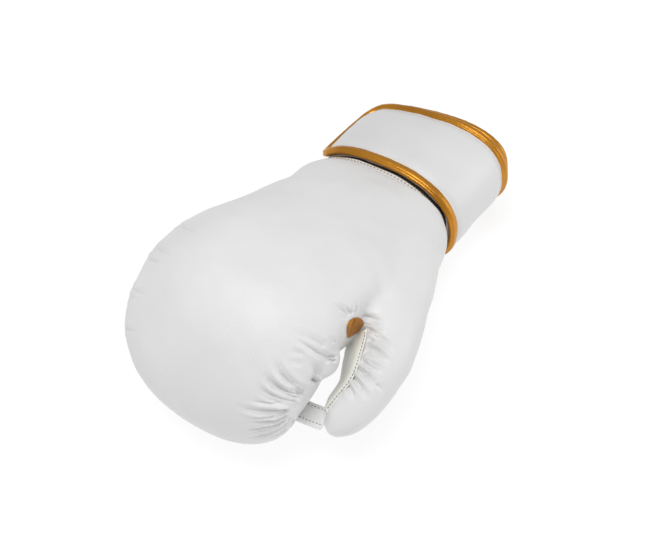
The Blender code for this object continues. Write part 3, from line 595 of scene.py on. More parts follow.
def gather_depths(rings, places):
    """How far each point of the hand's grid is drawn in by the gathers at the pinky side."""
    from_seam = -past_pinky_seam()
    step = np.linalg.norm(rings - np.roll(rings, 1, axis=1), axis=2)
    up = from_seam[None, :] / 360 * step.sum(axis=1, keepdims=True)
    speed = np.linalg.norm(np.gradient(rings, axis=0), axis=2) / np.gradient(places)[:, None]
    drawn = np.zeros(rings.shape[:2])
    for at, reach, lean, depth, width in PINKY_GATHERS:
        share = up / (reach * FIST_WIDTH)
        centre = lean * FIST_WIDTH * np.clip(share, 0, 1) ** GATHER_CURVE
        across = ((places[:, None] - at) * speed - centre) / (width * GATHER_WIDTH)
        crease = bell(across) - SHOULDER_HEIGHT * bell(across / SHOULDER_WIDTH)
        fade = ease((share + GATHER_START) / GATHER_START) * ease((1 - share) / GATHER_FADE)
        drawn += depth * GATHER_DEPTH * crease * fade
    return drawn


def thumb_frame(at):
    """Centre, half sizes and lean of the thumb's section at each place in at, in section rows."""
    row = {name: smooth_between(THUMB[name], at) for name in THUMB_COLUMNS}
    centre = np.stack(
        [
            THUMB_ROOT_SIDE * FIST_WIDTH + row["side"] * THUMB_SPREAD,
            -THUMB_ROOT_ALONG * HAND_LENGTH - row["along"] * THUMB_LENGTH,
            row["lift"] * FIST_HEIGHT,
        ],
        axis=-1,
    )
    return {
        "centre": centre,
        "thick": row["thick"] * THUMB_THICKNESS / 2,
        "deep": row["deep"] * THUMB_DEPTH / 2,
        "lean": np.radians(row["lean"]),
    }


def thumb_axes(frame):
    """Unit vectors of each thumb section: outwards and up."""
    forward = np.gradient(frame["centre"], axis=0)
    forward /= np.linalg.norm(forward, axis=1, keepdims=True)
    out = np.stack([np.cos(frame["lean"]), 0 * frame["lean"], -np.sin(frame["lean"])], axis=1)
    out -= (out * forward).sum(axis=1, keepdims=True) * forward
    out /= np.linalg.norm(out, axis=1, keepdims=True)
    return out, np.cross(forward, out)


def thumb_rings(places, quarters, wall=0.0):
    """The thumb's sections as a grid of points."""
    frame = thumb_frame(places)
    out, up = thumb_axes(frame)
    rings = []
    for k in range(len(places)):
        thick, deep = frame["thick"][k] - wall, frame["deep"][k] - wall
        ring = oval(thick, thick, deep, deep, THUMB_SQUARENESS, THUMB_SQUARENESS, quarters)
        ring[:, 0] = np.maximum(ring[:, 0], -INNER_FLAT * thick + INNER_SLOPE * ring[:, 1])
        rings.append(frame["centre"][k] + ring[:, :1] * out[k] + ring[:, 1:] * up[k])
    return np.array(rings)


def distance_past_oval(across, up, half_across, half_up, squareness):
    """Rough distance from a point to an oval, negative inside it."""
    share = np.abs(across / half_across) ** squareness + np.abs(up / half_up) ** squareness
    share = np.maximum(share ** (1 / squareness), 1e-6)
    return np.hypot(across, up) * (1 - 1 / share)


def distance_to_thumb(points):
    """Rough distance from each point to the thumb."""
    frame = thumb_frame(np.linspace(0, len(THUMB_SECTIONS) - 1, THUMB_NEAR_PLACES))
    out, up = thumb_axes(frame)
    nearest = np.linalg.norm(points[:, None] - frame["centre"][None], axis=2).argmin(axis=1)
    offset = points - frame["centre"][nearest]
    return distance_past_oval(
        (offset * out[nearest]).sum(axis=1),
        (offset * up[nearest]).sum(axis=1),
        frame["thick"][nearest],
        frame["deep"][nearest],
        THUMB_SQUARENESS,
    )


def distance_to_hand(points):
    """Rough distance from each point to the upright sections of the hand."""
    frame = hand_frame(np.linspace(0, UPRIGHT_ROWS, HAND_NEAR_PLACES))
    order = np.argsort(frame["y"])
    value = {name: np.interp(points[:, 1], frame["y"][order], frame[name][order]) for name in frame}
    middle = value["z"] + (value["inner"] + value["outer"]) / 2
    side = np.where(points[:, 0] > 0, value["thumb"], value["pinky"])
    return distance_past_oval(
        points[:, 0], points[:, 2] - middle, side, (value["outer"] - value["inner"]) / 2, OUTER_SQUARENESS
    )


def swelling(points, distance):
    """The soft fillet: how far a surface stands out near the other one, fading out towards the crotch."""
    reach = np.clip(THUMB_BLEND - np.maximum(distance, 0), 0, None)
    fade = ease((points[:, 1] / HAND_LENGTH + BLEND_ENDS) / BLEND_FADE)
    return reach**2 / (4 * THUMB_BLEND) * fade


def hand_surface():
    """The outside of the hand as a grid of rings, flattened where it rests."""
    places = hand_places(HAND_STEP)
    frame = hand_frame(places)
    rings = np.array(
        [hand_ring({k: v[i] for k, v in frame.items()}, HAND_QUARTERS) for i in range(len(places))]
    )
    drawn = gather_depths(rings, places)
    flat = rings.reshape(-1, 3)
    raised = swelling(flat, distance_to_thumb(flat)).reshape(rings.shape[:2])
    normals = normals_of(rings)
    wrist = WRIST_SWELL * bell((rings[..., 1] - WRIST_SWELL_AT) / WRIST_SWELL_LENGTH)
    wrist = wrist * np.clip(normals[..., 0], 0, 1)
    rings = rings + normals * (raised - drawn + wrist)[:, :, None]
    rings[0, :, 1] = 0
    return rings


def thumb_surface():
    """The outside of the thumb as a grid of rings."""
    places = np.linspace(0, len(THUMB_SECTIONS) - 1, THUMB_RINGS)
    rings = thumb_rings(places, THUMB_QUARTERS)
    flat = rings.reshape(-1, 3)
    raised = swelling(flat, distance_to_hand(flat)).reshape(rings.shape[:2])
    return rings + normals_of(rings) * raised[:, :, None]


def hollow_rings():
    """The hand's hollow, from in front of the cuff seam to the fingertips."""
    places = np.linspace(0, len(HOLLOW_SECTIONS) - 1, HOLLOW_RINGS)
    row = {name: smooth_between(HOLLOW[name], places) for name in HOLLOW_COLUMNS}
    frame = hand_frame(row["section"])
    rings = [
        hand_ring(
            {k: v[i] for k, v in frame.items()},
            HOLLOW_QUARTERS,
            pad=row["pad"][i] * KNUCKLE_PAD,
            side=row["side"][i] * SIDE_PAD,
            palm=row["palm"][i] * PALM_WALL + row["lining"][i] * FINGER_LINING,
        )
        for i in range(len(places))
    ]
    return np.array([rings[0] + np.array([0, CUFF_WALL, 0])] + rings)


def thumb_hollow():
    """The hollow that the thumb goes into."""
    reach = np.interp([0.0, HOLLOW_REACH], THUMB["along"], np.arange(len(THUMB_SECTIONS)))
    return thumb_rings(np.linspace(*reach, THUMB_HOLLOW_RINGS), HOLLOW_QUARTERS, THUMB_PAD)


def cuff_length():
    """From the seam to the cuff's rim, without the rim's binding."""
    return CUFF_BORDER + STRAP_WIDTH + CUFF_RIM


def turned(vectors, roll):
    """The vectors turned about the length of the glove, +X towards +Z."""
    c, s = np.cos(roll), np.sin(roll)
    x, y, z = vectors[..., 0], vectors[..., 1], vectors[..., 2]
    return np.stack([x * c - z * s, y, x * s + z * c], axis=-1)


def cuff_points(angles, y, grow=0.0):
    """Points on the cuff's outside, or grow off it, at angles in degrees and distances from the seam."""
    seam = {name: float(value) for name, value in hand_frame(0.0).items()}
    share = np.asarray(y, float) / cuff_length()
    half_up = (seam["outer"] - seam["inner"] - (CUFF_DROP + CUFF_RISE) * share) / 2 - CUFF_STEP
    middle = seam["z"] + seam["inner"] + CUFF_STEP + CUFF_RISE * share + half_up
    angles = np.radians(angles)
    c, s = np.cos(angles), np.sin(angles)
    across = np.where(c > 0, seam["thumb"], seam["pinky"]) - CUFF_STEP + CUFF_FLARE * share
    squareness = OUTER_SQUARENESS + CUFF_SQUARING * share
    power = 2 / squareness
    x = across * np.sign(c) * np.abs(c) ** power
    z = half_up * np.sign(s) * np.abs(s) ** power
    slope_x = np.sign(x) * np.abs(x / across) ** (squareness - 1) / across
    slope_z = np.sign(z) * np.abs(z / half_up) ** (squareness - 1) / half_up
    length = np.hypot(slope_x, slope_z)
    normal = np.stack([slope_x / length, 0 * slope_x, slope_z / length], axis=-1)
    roll = np.radians(CUFF_ROLL) * (CUFF_ROLL_AT_SEAM + (1 - CUFF_ROLL_AT_SEAM) * share)
    grow = np.asarray(grow, float)
    offset = np.stack([x, 0 * x, z], axis=-1) + grow[..., None] * normal
    point = turned(offset, roll) + np.stack([0 * x, y + 0 * x, middle + 0 * x], axis=-1)
    return point, turned(normal, roll)


def arc_table():
    """Angles in degrees, and the cuff's length at the strap's middle from the strap's root to them."""
    angles = np.linspace(STRAP_ROOT_ANGLE - ARC_MARGIN, STRAP_END_ANGLE + ARC_MARGIN, ARC_POINTS)
    points, _ = cuff_points(angles, CUFF_BORDER + STRAP_WIDTH / 2, BINDING_THICKNESS / 2)
    passed = lengths_along(points)
    return angles, passed - np.interp(STRAP_ROOT_ANGLE, angles, passed)


def strap_outline(inset, arc_points):
    """The strap laid flat, its edge moved in: points along and across, from the root's front corner."""
    angles, passed = arc_table()
    end = np.interp(STRAP_END_ANGLE, angles, passed)
    lean = math.atan2(STRAP_SLANT, STRAP_WIDTH)
    front, rear, root = STRAP_END_RADIUS_FRONT, STRAP_END_RADIUS_REAR, STRAP_ROOT_RADIUS
    tip = end + STRAP_SLANT - front * (1 + math.tan(lean))
    quarter = math.pi / 2
    corners = (
        (root, root, root, 2 * quarter, 3 * quarter),
        (tip, front, front, 3 * quarter, 4 * quarter + lean),
        (end - rear, STRAP_WIDTH - rear, rear, lean, quarter),
        (root, STRAP_WIDTH - root, root, quarter, 2 * quarter),
    )
    points = []
    for along, across, radius, start, stop in corners:
        turn = np.linspace(start, stop, arc_points)
        arc = np.stack([np.cos(turn), np.sin(turn)], axis=1)
        points += list(np.array([along, across]) + (radius - inset) * arc)
    return np.array(points)


def on_cuff(flat, grow):
    """Points of the flat strap wrapped on the cuff, and the directions away from the cuff there."""
    angles, passed = arc_table()
    return cuff_points(np.interp(flat[..., 0], passed, angles), CUFF_BORDER + flat[..., 1], grow)


def evenly(points, step, closed=True):
    """The line through the points with its points that far apart."""
    line = np.concatenate([points, points[:1]]) if closed else points
    passed = lengths_along(line)
    count = max(3, round(passed[-1] / step))
    return read_line(line, passed, np.linspace(0, passed[-1], count, endpoint=not closed))


def wobble(points, size, seed, waves=28):
    """Smooth unevenness, mostly between -1 and 1, about that size from bump to bump."""
    rng = np.random.default_rng(seed)
    directions = rng.normal(size=(waves, 3))
    directions /= np.linalg.norm(directions, axis=1, keepdims=True)
    lengths = size * rng.uniform(0.7, 1.5, (waves, 1))
    phases = rng.uniform(0, 2 * np.pi, waves)
    turns = np.tensordot(points, (directions / lengths).T, axes=1) * 2 * np.pi + phases
    return np.sin(turns).sum(axis=-1) / math.sqrt(waves)


def camera_axes():
    """The camera's place, and its right, up and backward directions."""
    a, e = math.radians(CAMERA_AZIMUTH), math.radians(CAMERA_ELEVATION)
    back = np.array([math.sin(a) * math.cos(e), -math.cos(a) * math.cos(e), math.sin(e)])
    right = np.array([math.cos(a), math.sin(a), 0.0])
    return LOOK_AT + MOVE + back * CAMERA_DISTANCE, right, np.cross(back, right), back


def pixel_ray(x, y):
    """Direction from the camera through a pixel of the photograph."""
    _, right, up, back = camera_axes()
    ray = (x - PHOTO_MIDDLE[0]) / FOCAL_PIXELS * right + (PHOTO_MIDDLE[1] - y) / FOCAL_PIXELS * up - back
    return ray / np.linalg.norm(ray)


def new_object(name, points, faces, material=None):
    """A new object from points in the frame's place."""
    mesh = bpy.data.meshes.new(name)
    mesh.from_pydata([tuple(p) for p in points], [], faces)
    mesh.update()
    obj = bpy.data.objects.new(name, mesh)
    bpy.context.scene.collection.objects.link(obj)
    if material:
        mesh.materials.append(material)
    return obj


def tube_faces(rows, count, closed=False, start=0):
    """Faces of a tube of rings: closed into a band, or capped at both ends."""
    faces = []
    for i in range(rows if closed else rows - 1):
        a, b = start + i * count, start + (i + 1) % rows * count
        faces += [(a + j, a + (j + 1) % count, b + (j + 1) % count, b + j) for j in range(count)]
    if not closed:
        last = start + (rows - 1) * count
        faces.append(tuple(start + j for j in range(count))[::-1])
        faces.append(tuple(last + j for j in range(count)))
    return faces


def loft(name, rings, material=None, closed=False):
    """A solid through rings in the model's own place: a closed band of them, or capped at both ends."""
    faces = tube_faces(*rings.shape[:2], closed)
    obj = new_object(name, rings.reshape(-1, 3) + MOVE, faces, material)
    face_outwards(obj)
    return obj


def face_outwards(obj):
    """Turns the faces of a closed mesh over if its signed volume is negative."""
    mesh = obj.data
    mesh.calc_loop_triangles()
    corners = np.empty(len(mesh.loop_triangles) * 3, int)
    mesh.loop_triangles.foreach_get("vertices", corners)
    a, b, c = vertex_values(obj)[corners.reshape(-1, 3)].transpose(1, 0, 2)
    if (a * np.cross(b, c)).sum() < 0:
        mesh.flip_normals()


def vertex_values(obj, what="co"):
    """The place, or else the normal, of every vertex."""
    values = np.empty(len(obj.data.vertices) * 3)
    obj.data.vertices.foreach_get(what, values)
    return values.reshape(-1, 3)


def apply_modifiers(obj):
    """Bakes the object's modifiers into its mesh."""
    bpy.context.view_layer.update()
    graph = bpy.context.evaluated_depsgraph_get()
    mesh = bpy.data.meshes.new_from_object(obj.evaluated_get(graph))
    obj.modifiers.clear()
    old = obj.data
    obj.data = mesh
    bpy.data.meshes.remove(old)
    mesh.name = obj.name


def fold_line(tree, pixels):
    """Points of a fold on the skin, and how far along it each one is, 0 to 1."""
    start, middle, end = np.array(pixels).reshape(3, 2)
    bend = 2 * middle - (start + end) / 2
    eye = Vector(camera_axes()[0])
    points, places = [], []
    for t in np.linspace(0, 1, FOLD_POINTS):
        x, y = (1 - t) ** 2 * start + 2 * t * (1 - t) * bend + t * t * end
        hit = tree.ray_cast(eye, Vector(pixel_ray(x, y)))[0]
        if hit is None or (points and (hit - points[-1]).length > FOLD_JUMP):
            continue
        points.append(hit)
        places.append(t)
    return np.array(points), np.array(places)


def near_line(points, line, reach):
    """Index of the points within reach of the line, their distance, and the line's point next to each."""
    inside = (points > line.min(axis=0) - reach) & (points < line.max(axis=0) + reach)
    index = np.flatnonzero(inside.all(axis=1))
    if not len(index):
        return index, np.zeros(0), index
    distance = np.linalg.norm(points[index][:, None] - line[None], axis=2)
    return index, distance.min(axis=1), distance.argmin(axis=1)


def draw_in(points, crease):
    """How far each point is drawn in by a crease along a line, with a swelling on both sides of it."""
    line, places, depth, width, fade_in, fade_out = crease
    drawn = np.zeros(len(points))
    index, distance, nearest = near_line(points, line, CREASE_REACH * width)
    away = distance / width
    share = places[nearest]
    fade = ease(share / fade_in) * ease((1 - share) / fade_out)
    swell = SWELL_HEIGHT * bell((away - SWELL_AT) / SWELL_WIDTH)
    drawn[index] = depth * fade * (np.exp(-CREASE_NARROWED * away**CREASE_POINTED) - swell)
    return drawn


def refine(obj, creases, reach):
    """Halves the mesh along the creases, that many widths off them."""
    points = vertex_values(obj)
    wanted = np.zeros(len(points), bool)
    for line, _, _, width, _, _ in creases:
        index, distance, _ = near_line(points, line, reach * width)
        wanted[index[distance < reach * width]] = True
    mesh = bmesh.new()
    mesh.from_mesh(obj.data)
    edges = [edge for edge in mesh.edges if all(wanted[vert.index] for vert in edge.verts)]
    bmesh.ops.subdivide_edges(mesh, edges=edges, cuts=1, use_grid_fill=True)
    mesh.to_mesh(obj.data)
    mesh.free()
    smooth(obj, REFINED_SMOOTHED)


def smooth(obj, times):
    """Evens the mesh out so many times."""
    even = obj.modifiers.new("even", "SMOOTH")
    even.factor = 0.5
    even.iterations = times
    apply_modifiers(obj)


def surface_tree(obj):
    """The surface of an object, for rays to meet."""
    points = [tuple(p) for p in vertex_values(obj)]
    return BVHTree.FromPolygons(points, [tuple(p.vertices) for p in obj.data.polygons])


def fine_wrinkles(folds):
    """Shallow narrow creases beside the deeper folds, in the folds' own columns."""
    rng = np.random.default_rng(WRINKLE_SEED)
    found = []
    for *pixels, depth, width in folds:
        start, _, end = np.array(pixels).reshape(3, 2)
        run = end - start
        across = np.array([-run[1], run[0]]) / np.linalg.norm(run)
        for side in (-1, 1):
            offset = side * rng.uniform(*WRINKLE_OFFSET) * across
            moved = np.array(pixels) + np.tile(offset, 3)
            found.append((*moved, depth * rng.uniform(*WRINKLE_DEPTH), width * WRINKLE_WIDTH))
    return tuple(found)


def bulge(name, centre, size):
    """An oval ball of leather, to be merged with the skin."""
    rows, count = BULGE_GRID
    pole = np.pi / 2 - BULGE_TIP
    up = np.linspace(-pole, pole, rows)[:, None]
    turn = 2 * np.pi * np.arange(count)[None] / count
    ball = [np.cos(up) * np.cos(turn), np.cos(up) * np.sin(turn), np.sin(up) + 0 * turn]
    return loft(name, np.array(centre) + np.stack(ball, axis=-1) * np.array(size))


def pinky_seam(rings):
    """The line of the pinky seam along the hand's grid, and the column that it runs on."""
    column = int(np.abs(past_pinky_seam()).argmin())
    return rings[:, column], column


def puckers(rings, first, last):
    """Short creases from the pinky seam off to both sides: their lines, depths and half widths."""
    rng = np.random.default_rng(PUCKER_SEED)
    line, column = pinky_seam(rings)
    passed = lengths_along(line)
    found = []
    for side in (-1, 1):
        at = passed[first] + PUCKER_SPACING * rng.random()
        while at < passed[last]:
            row = np.interp(at, passed, np.arange(len(line)))
            length = PUCKER_LENGTH * rng.uniform(*PUCKER_LENGTHS)
            slope = rng.uniform(-PUCKER_SLOPE, PUCKER_SLOPE)
            points, run = [], 0.0
            for k in range(PUCKER_COLUMNS):
                i = min(max(row + slope * k, 0), len(line) - 1)
                low, share = int(i), i - int(i)
                high = min(low + 1, len(line) - 1)
                j = (column + side * k) % rings.shape[1]
                points.append(rings[low, j] * (1 - share) + rings[high, j] * share)
                if k:
                    run += np.linalg.norm(points[-1] - points[-2])
                if run > length:
                    break
            crease = evenly(np.array(points), PUCKER_STEP, closed=False)
            depth = PUCKER_DEPTH * rng.uniform(*PUCKER_DEPTHS)
            found.append((crease, depth, PUCKER_WIDTH * rng.uniform(*PUCKER_WIDTHS)))
            at += PUCKER_SPACING * rng.uniform(*PUCKER_SPACINGS)
    return found


def skin_creases(tree, hand):
    """Every crease of the skin: line, places along it, depth, half width and the two fades."""
    creases = []
    folds = FIST_FOLDS + THUMB_FOLDS
    for table, fades in ((folds + fine_wrinkles(folds), FOLD_FADES), (EDGE_FOLDS, EDGE_FADES)):
        for *pixels, depth, width in table:
            line, places = fold_line(tree, pixels)
            if len(line) > 3:
                creases.append((line, places, depth * FOLD_DEPTH, width * FOLD_WIDTH, *fades))
    places = hand_places(HAND_STEP)
    first, last = (int(np.abs(places - row).argmin()) for row in SEAM_ROWS)
    seam = evenly(pinky_seam(hand[first:last])[0], SEAM_STEP, closed=False)
    lines = [(seam, GROOVE, GROOVE_HALF, *GROOVE_FADES)]
    lines += [(*pucker, *PUCKER_FADES) for pucker in puckers(hand, first, last)]
    for line, *shape in lines:
        creases.append((line + MOVE, np.linspace(0, 1, len(line)), *shape))
    return creases


def hollow_out(skin, rings, material, lining):
    """Cuts the room inside the rings out of the skin, its walls in the lining's material."""
    cutter = loft("cutter", rings, material)
    cutter.data.materials.append(lining)
    cutter.data.polygons.foreach_set("material_index", np.ones(len(cutter.data.polygons), int))
    boolean = skin.modifiers.new("hollow", "BOOLEAN")
    boolean.operation = "DIFFERENCE"
    boolean.solver = "MANIFOLD"
    boolean.object = cutter
    apply_modifiers(skin)
    bpy.data.objects.remove(cutter)


def make_skin(material, lining):
    """The padded leather of hand and thumb as one skin, folded where it is sewn, and hollow."""
    hand, thumb = hand_surface(), thumb_surface()
    web, roll = bulge("web", WEB_CENTRE, WEB_SIZE), bulge("roll", ROLL_CENTRE, ROLL_SIZE)
    skin = join("glove_skin", [loft("hand_form", hand), loft("thumb_form", thumb), web, roll])
    remesh = skin.modifiers.new("one_skin", "REMESH")
    remesh.mode = "VOXEL"
    remesh.voxel_size = SKIN_VOXEL
    apply_modifiers(skin)
    smooth(skin, SKIN_SMOOTHED)

    creases = skin_creases(surface_tree(skin), hand)
    for reach in REFINED_REACH:
        refine(skin, creases, reach)
    points, normals = vertex_values(skin), vertex_values(skin, "normal")
    drawn = sum(draw_in(points, crease) for crease in creases)
    fade = ease((MOVE[1] - points[:, 1]) / SKIN_EVEN_AT_SEAM)
    uneven = sum(height * wobble(points, size, seed) for height, size, seed in SKIN_UNEVEN)
    points = points - normals * drawn[:, None] + normals * (uneven * fade)[:, None]
    points[:, 2] = np.maximum(points[:, 2], 0)
    skin.data.vertices.foreach_set("co", np.asarray(points, np.float32).ravel())
    skin.data.update()
    tree = surface_tree(skin)

    skin.data.materials.append(material)
    skin.data.materials.append(lining)
    hollow_out(skin, hollow_rings(), material, lining)
    hollow_out(skin, thumb_hollow(), material, lining)
    finish_piece(skin, 50, "shell_leather", "hand_shell", "thumb_shell")
    return tree


def join(name, parts):
    """One object with the meshes of all the parts, which go."""
    points, faces = [], []
    for part in parts:
        start = len(points)
        points += list(vertex_values(part))
        faces += [tuple(start + v for v in face.vertices) for face in part.data.polygons]
        bpy.data.objects.remove(part)
    return new_object(name, points, faces)


def finish_piece(obj, sharp, slot, *nodes):
    """Smooth but for edges past that angle, rides on the glove and stands for the nodes; its slot is not
    used.
    """
    obj.data.shade_smooth()
    if sharp < 180:
        obj.data.set_sharp_from_angle(angle=math.radians(sharp))
    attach(obj, "root")
    if nodes:
        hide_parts(*nodes)


def slit_angles(count):
    """Angles round the cuff from one edge of its slit to the other, closer together at both ends."""
    u = np.linspace(0, 1, count)
    u = u - SLIT_CROWDING * np.sin(2 * np.pi * u)
    return SLIT_ANGLE + SLIT_HALF_ANGLE + (360 - 2 * SLIT_HALF_ANGLE) * u


def rounded_section(low, high, bottom, top, radius, count):
    """Points round a rectangle with rounded corners, in its plane."""
    points = []
    for x, y, start in (
        (high - radius, top - radius, 0),
        (low + radius, top - radius, 90),
        (low + radius, bottom + radius, 180),
        (high - radius, bottom + radius, 270),
    ):
        turn = np.radians(np.linspace(start, start + 90, CORNER_POINTS))
        points += list(np.stack([x + radius * np.cos(turn), y + radius * np.sin(turn)], axis=1))
    line = np.array(points + points[:1])
    passed = lengths_along(line)
    return read_line(line, passed, np.linspace(0, passed[-1], count, endpoint=False))


def cuff_section(inset=0.0):
    """Distances from the seam and heights over the cuff's outside round one section of its wall."""
    low, high = SEAM_GAP + inset, cuff_length() - inset
    return rounded_section(low, high, -CUFF_WALL + inset, -inset, CUFF_ROUND, CUFF_POINTS).T


def make_cuff(material, shade_material):
    """The padded tube round the wrist, open along its slit, with a near-black painted shadow under the
    strap's edge.
    """
    rings = []
    for angle, k in zip(slit_angles(CUFF_RINGS), steps_from_end(CUFF_RINGS)):
        inset = CUFF_ROUND * (1 - math.sqrt(1 - max(0.0, 1 - k / CUFF_END_RINGS) ** 2))
        y, grow = cuff_section(inset)
        outside, inside = grow > -CUFF_WALL / 2, grow < -CUFF_WALL / 2
        crown = -CUFF_LINING_CROWN * np.sin(np.pi * np.clip(y / cuff_length(), 0, 1)) * inside
        dip = CUFF_DIP * bell((y - CUFF_BORDER - CUFF_DIP_WIDTH / 2) / CUFF_DIP_WIDTH) * outside
        lip = LIP_HEIGHT * bell((y - LIP_AT) / LIP_WIDTH) * outside
        ring, _ = cuff_points(np.full(CUFF_POINTS, angle), y, grow + crown - dip + lip)
        rings.append(ring)
    rings = np.array(rings)
    height, size, seed = CUFF_UNEVEN
    rings += height * wobble(rings, size, seed)[..., None]
    obj = loft("cuff_tube", rings, material)
    # Faces just past the cuff's border, under the strap's edge, take a near-black painted shadow
    obj.data.materials.append(shade_material)
    y, grow = cuff_section()
    past_edge = y - CUFF_BORDER - SHADOW_STRIP_START
    under_strap_shade = (grow > -CUFF_WALL / 2) & (past_edge > 0) & (past_edge < SHADOW_STRIP_WIDTH)
    for face in obj.data.polygons:
        face.material_index = int(all(under_strap_shade[v % CUFF_POINTS] for v in face.vertices))
    finish_piece(obj, 60, "strap_leather", "cuff")


def cord_rings(centres, sides, ups, half_side, half_up, squareness, points, seed, grooves=()):
    """Rings of a rolled leather binding along the centres, uneven, with grooves at the angles."""
    angle = 2 * np.pi * np.arange(points) / points
    c, s = np.cos(angle), np.sin(angle)
    across = np.sign(c) * np.abs(c) ** (2 / squareness) * half_side
    above = np.sign(s) * np.abs(s) ** (2 / squareness) * half_up
    pinch = np.ones(points)
    for degrees in grooves:
        off = (np.degrees(angle) - degrees + 180) % 360 - 180
        pinch -= GROOVE_DEPTH * bell(off / GROOVE_WIDTH)
    size = np.ones(len(centres))
    for height, length, layer in BINDING_UNEVEN:
        size += height * wobble(centres, length, seed + layer)
    sideways, upwards = (across * pinch)[None, :, None], (above * pinch)[None, :, None]
    offset = sideways * sides[:, None] + upwards * ups[:, None]
    return centres[:, None] + offset * size[:, None, None]


def make_rim_binding(material):
    """The gold binding on the cuff's rim."""
    y = cuff_length() + SEAM_GAP + RIM_BINDING_LENGTH / 2
    centres, ups = cuff_points(slit_angles(RIM_RINGS), y, -CUFF_WALL / 2)
    sides = np.tile([0.0, 1.0, 0.0], (RIM_RINGS, 1))
    half_side, half_up = RIM_BINDING_LENGTH / 2, CUFF_WALL / 2 + STRAP_LIFT
    rings = cord_rings(centres, sides, ups, half_side, half_up, RIM_SQUARENESS, RIM_POINTS, RIM_SEED)
    size = np.sqrt(1 - np.clip(1 - steps_from_end(RIM_RINGS) / RIM_END_RINGS, 0, RIM_END_CUT) ** 2)
    rings = centres[:, None] + (rings - centres[:, None]) * size[:, None, None]
    rings[..., 2] = np.maximum(rings[..., 2], 0)
    obj = loft("rim_binding", rings, material)
    finish_piece(obj, 60, "gold_leather", "cuff_rim_binding")


def strap_grid():
    """The strap's panel laid flat as a grid, and how far each point is from its edge."""
    outline = strap_outline(BINDING_WIDTH * STRAP_UNDER_BINDING, STRAP_ARC_POINTS)
    closed = np.concatenate([outline, outline[:1]])
    a, b = closed[:-1], closed[1:]
    first, last = outline[:, 0].min(), outline[:, 0].max()
    rows, count = STRAP_GRID
    u, t = np.linspace(0, 1, rows), np.linspace(0, 1, count)
    along = first + (last - first) * (u - STRAP_CROWDING[0] * np.sin(2 * np.pi * u))
    across = []
    for s in np.clip(along, first + 1e-5, last - 1e-5):
        hit = (a[:, 0] - s) * (b[:, 0] - s) <= 0
        run = np.where(np.abs(b[hit, 0] - a[hit, 0]) < 1e-12, 1.0, b[hit, 0] - a[hit, 0])
        crossing = a[hit, 1] + (s - a[hit, 0]) / run * (b[hit, 1] - a[hit, 1])
        across.append((crossing.min(), crossing.max()))
    low, high = np.array(across).T
    width = low[:, None] + (high - low)[:, None] * (t - STRAP_CROWDING[1] * np.sin(2 * np.pi * t))
    flat = np.stack([np.repeat(along[:, None], count, axis=1), width], axis=-1)
    ends = [flat[..., 0] - first, last - flat[..., 0]]
    return flat, np.minimum.reduce([width - low[:, None], high[:, None] - width] + ends)


def make_strap(material):
    """The wide strap round the cuff: a padded panel whose edges go into its binding."""
    flat, edge = strap_grid()
    channel = STRAP_CHANNEL * bell((edge - STRAP_CHANNEL_AT) / STRAP_CHANNEL_WIDTH)
    crown = STRAP_CROWN * ease(edge / STRAP_CROWN_EDGE) - channel
    height, size, seed = STRAP_UNEVEN
    ripple = height * wobble(np.dstack([flat, 0 * edge]), size, seed)
    top, _ = on_cuff(flat, STRAP_LIFT + STRAP_THICKNESS - STRAP_TOP_SUNK + crown + ripple)
    bottom, _ = on_cuff(flat, np.full(edge.shape, STRAP_LIFT))
    rings = np.concatenate([top, bottom[:, ::-1]], axis=1)
    rings[..., 2] = np.maximum(rings[..., 2], 0)
    obj = loft("strap_panel", rings, material)
    finish_piece(obj, 50, "strap_leather", "wrist_strap")


def make_strap_binding(material):
    """The gold leather rolled over the strap's edge."""
    flat = evenly(strap_outline(BINDING_WIDTH / 2, BINDING_ARC_POINTS), BINDING_STEP)
    centres, ups = on_cuff(flat, 2 * SEAM_GAP + BINDING_THICKNESS / 2)
    sides = np.cross(np.roll(centres, -1, axis=0) - np.roll(centres, 1, axis=0), ups)
    sides /= np.linalg.norm(sides, axis=1, keepdims=True)
    shape = (BINDING_WIDTH / 2, BINDING_THICKNESS / 2, BINDING_SQUARENESS, BINDING_POINTS)
    rings = cord_rings(centres, sides, ups, *shape, BINDING_SEED, GROOVE_ANGLES)
    rings[..., 2] = np.maximum(rings[..., 2], 0)
    obj = loft("strap_edge_binding", rings, material, closed=True)
    finish_piece(obj, 180, "gold_leather", "strap_binding")


def panel_grid(lift, margin, rows, count):
    """The flat inner side of the thumb as a grid, raised by lift, its edges moved in by margin."""
    places = np.interp(
        np.linspace(PANEL_START, PANEL_END, rows), THUMB["along"], np.arange(len(THUMB_SECTIONS))
    )
    fine = np.linspace(0, len(THUMB_SECTIONS) - 1, THUMB_FINE_PLACES)
    frame = thumb_frame(fine)
    out, up = thumb_axes(frame)
    grid = []
    for place in places:
        k = int(np.argmin(np.abs(fine - place)))
        thick, deep = frame["thick"][k], frame["deep"][k]
        ring = oval(thick, thick, deep, deep, THUMB_SQUARENESS, THUMB_SQUARENESS, PANEL_QUARTERS)
        flat = ring[ring[:, 0] < -INNER_FLAT * thick + INNER_SLOPE * ring[:, 1]]
        low, high = flat[:, 1].min() + margin, flat[:, 1].max() - margin
        heights = np.linspace(low, high, count)
        across = -INNER_FLAT * thick + INNER_SLOPE * heights
        if lift > 0:
            off_middle = np.linspace(-1, 1, count)
            across = across - PANEL_CROWN * (1 - off_middle**2)
            across = across + PANEL_EDGE_SUNK * lift * off_middle**6
        raised = across - lift
        grid.append(frame["centre"][k] + raised[:, None] * out[k] + heights[:, None] * up[k])
    return np.array(grid)


def thumb_point(share):
    """Middle of the thumb at a share of its length."""
    place = np.interp(share, THUMB["along"], np.arange(len(THUMB_SECTIONS)))
    return thumb_frame(np.array([place]))["centre"][0]


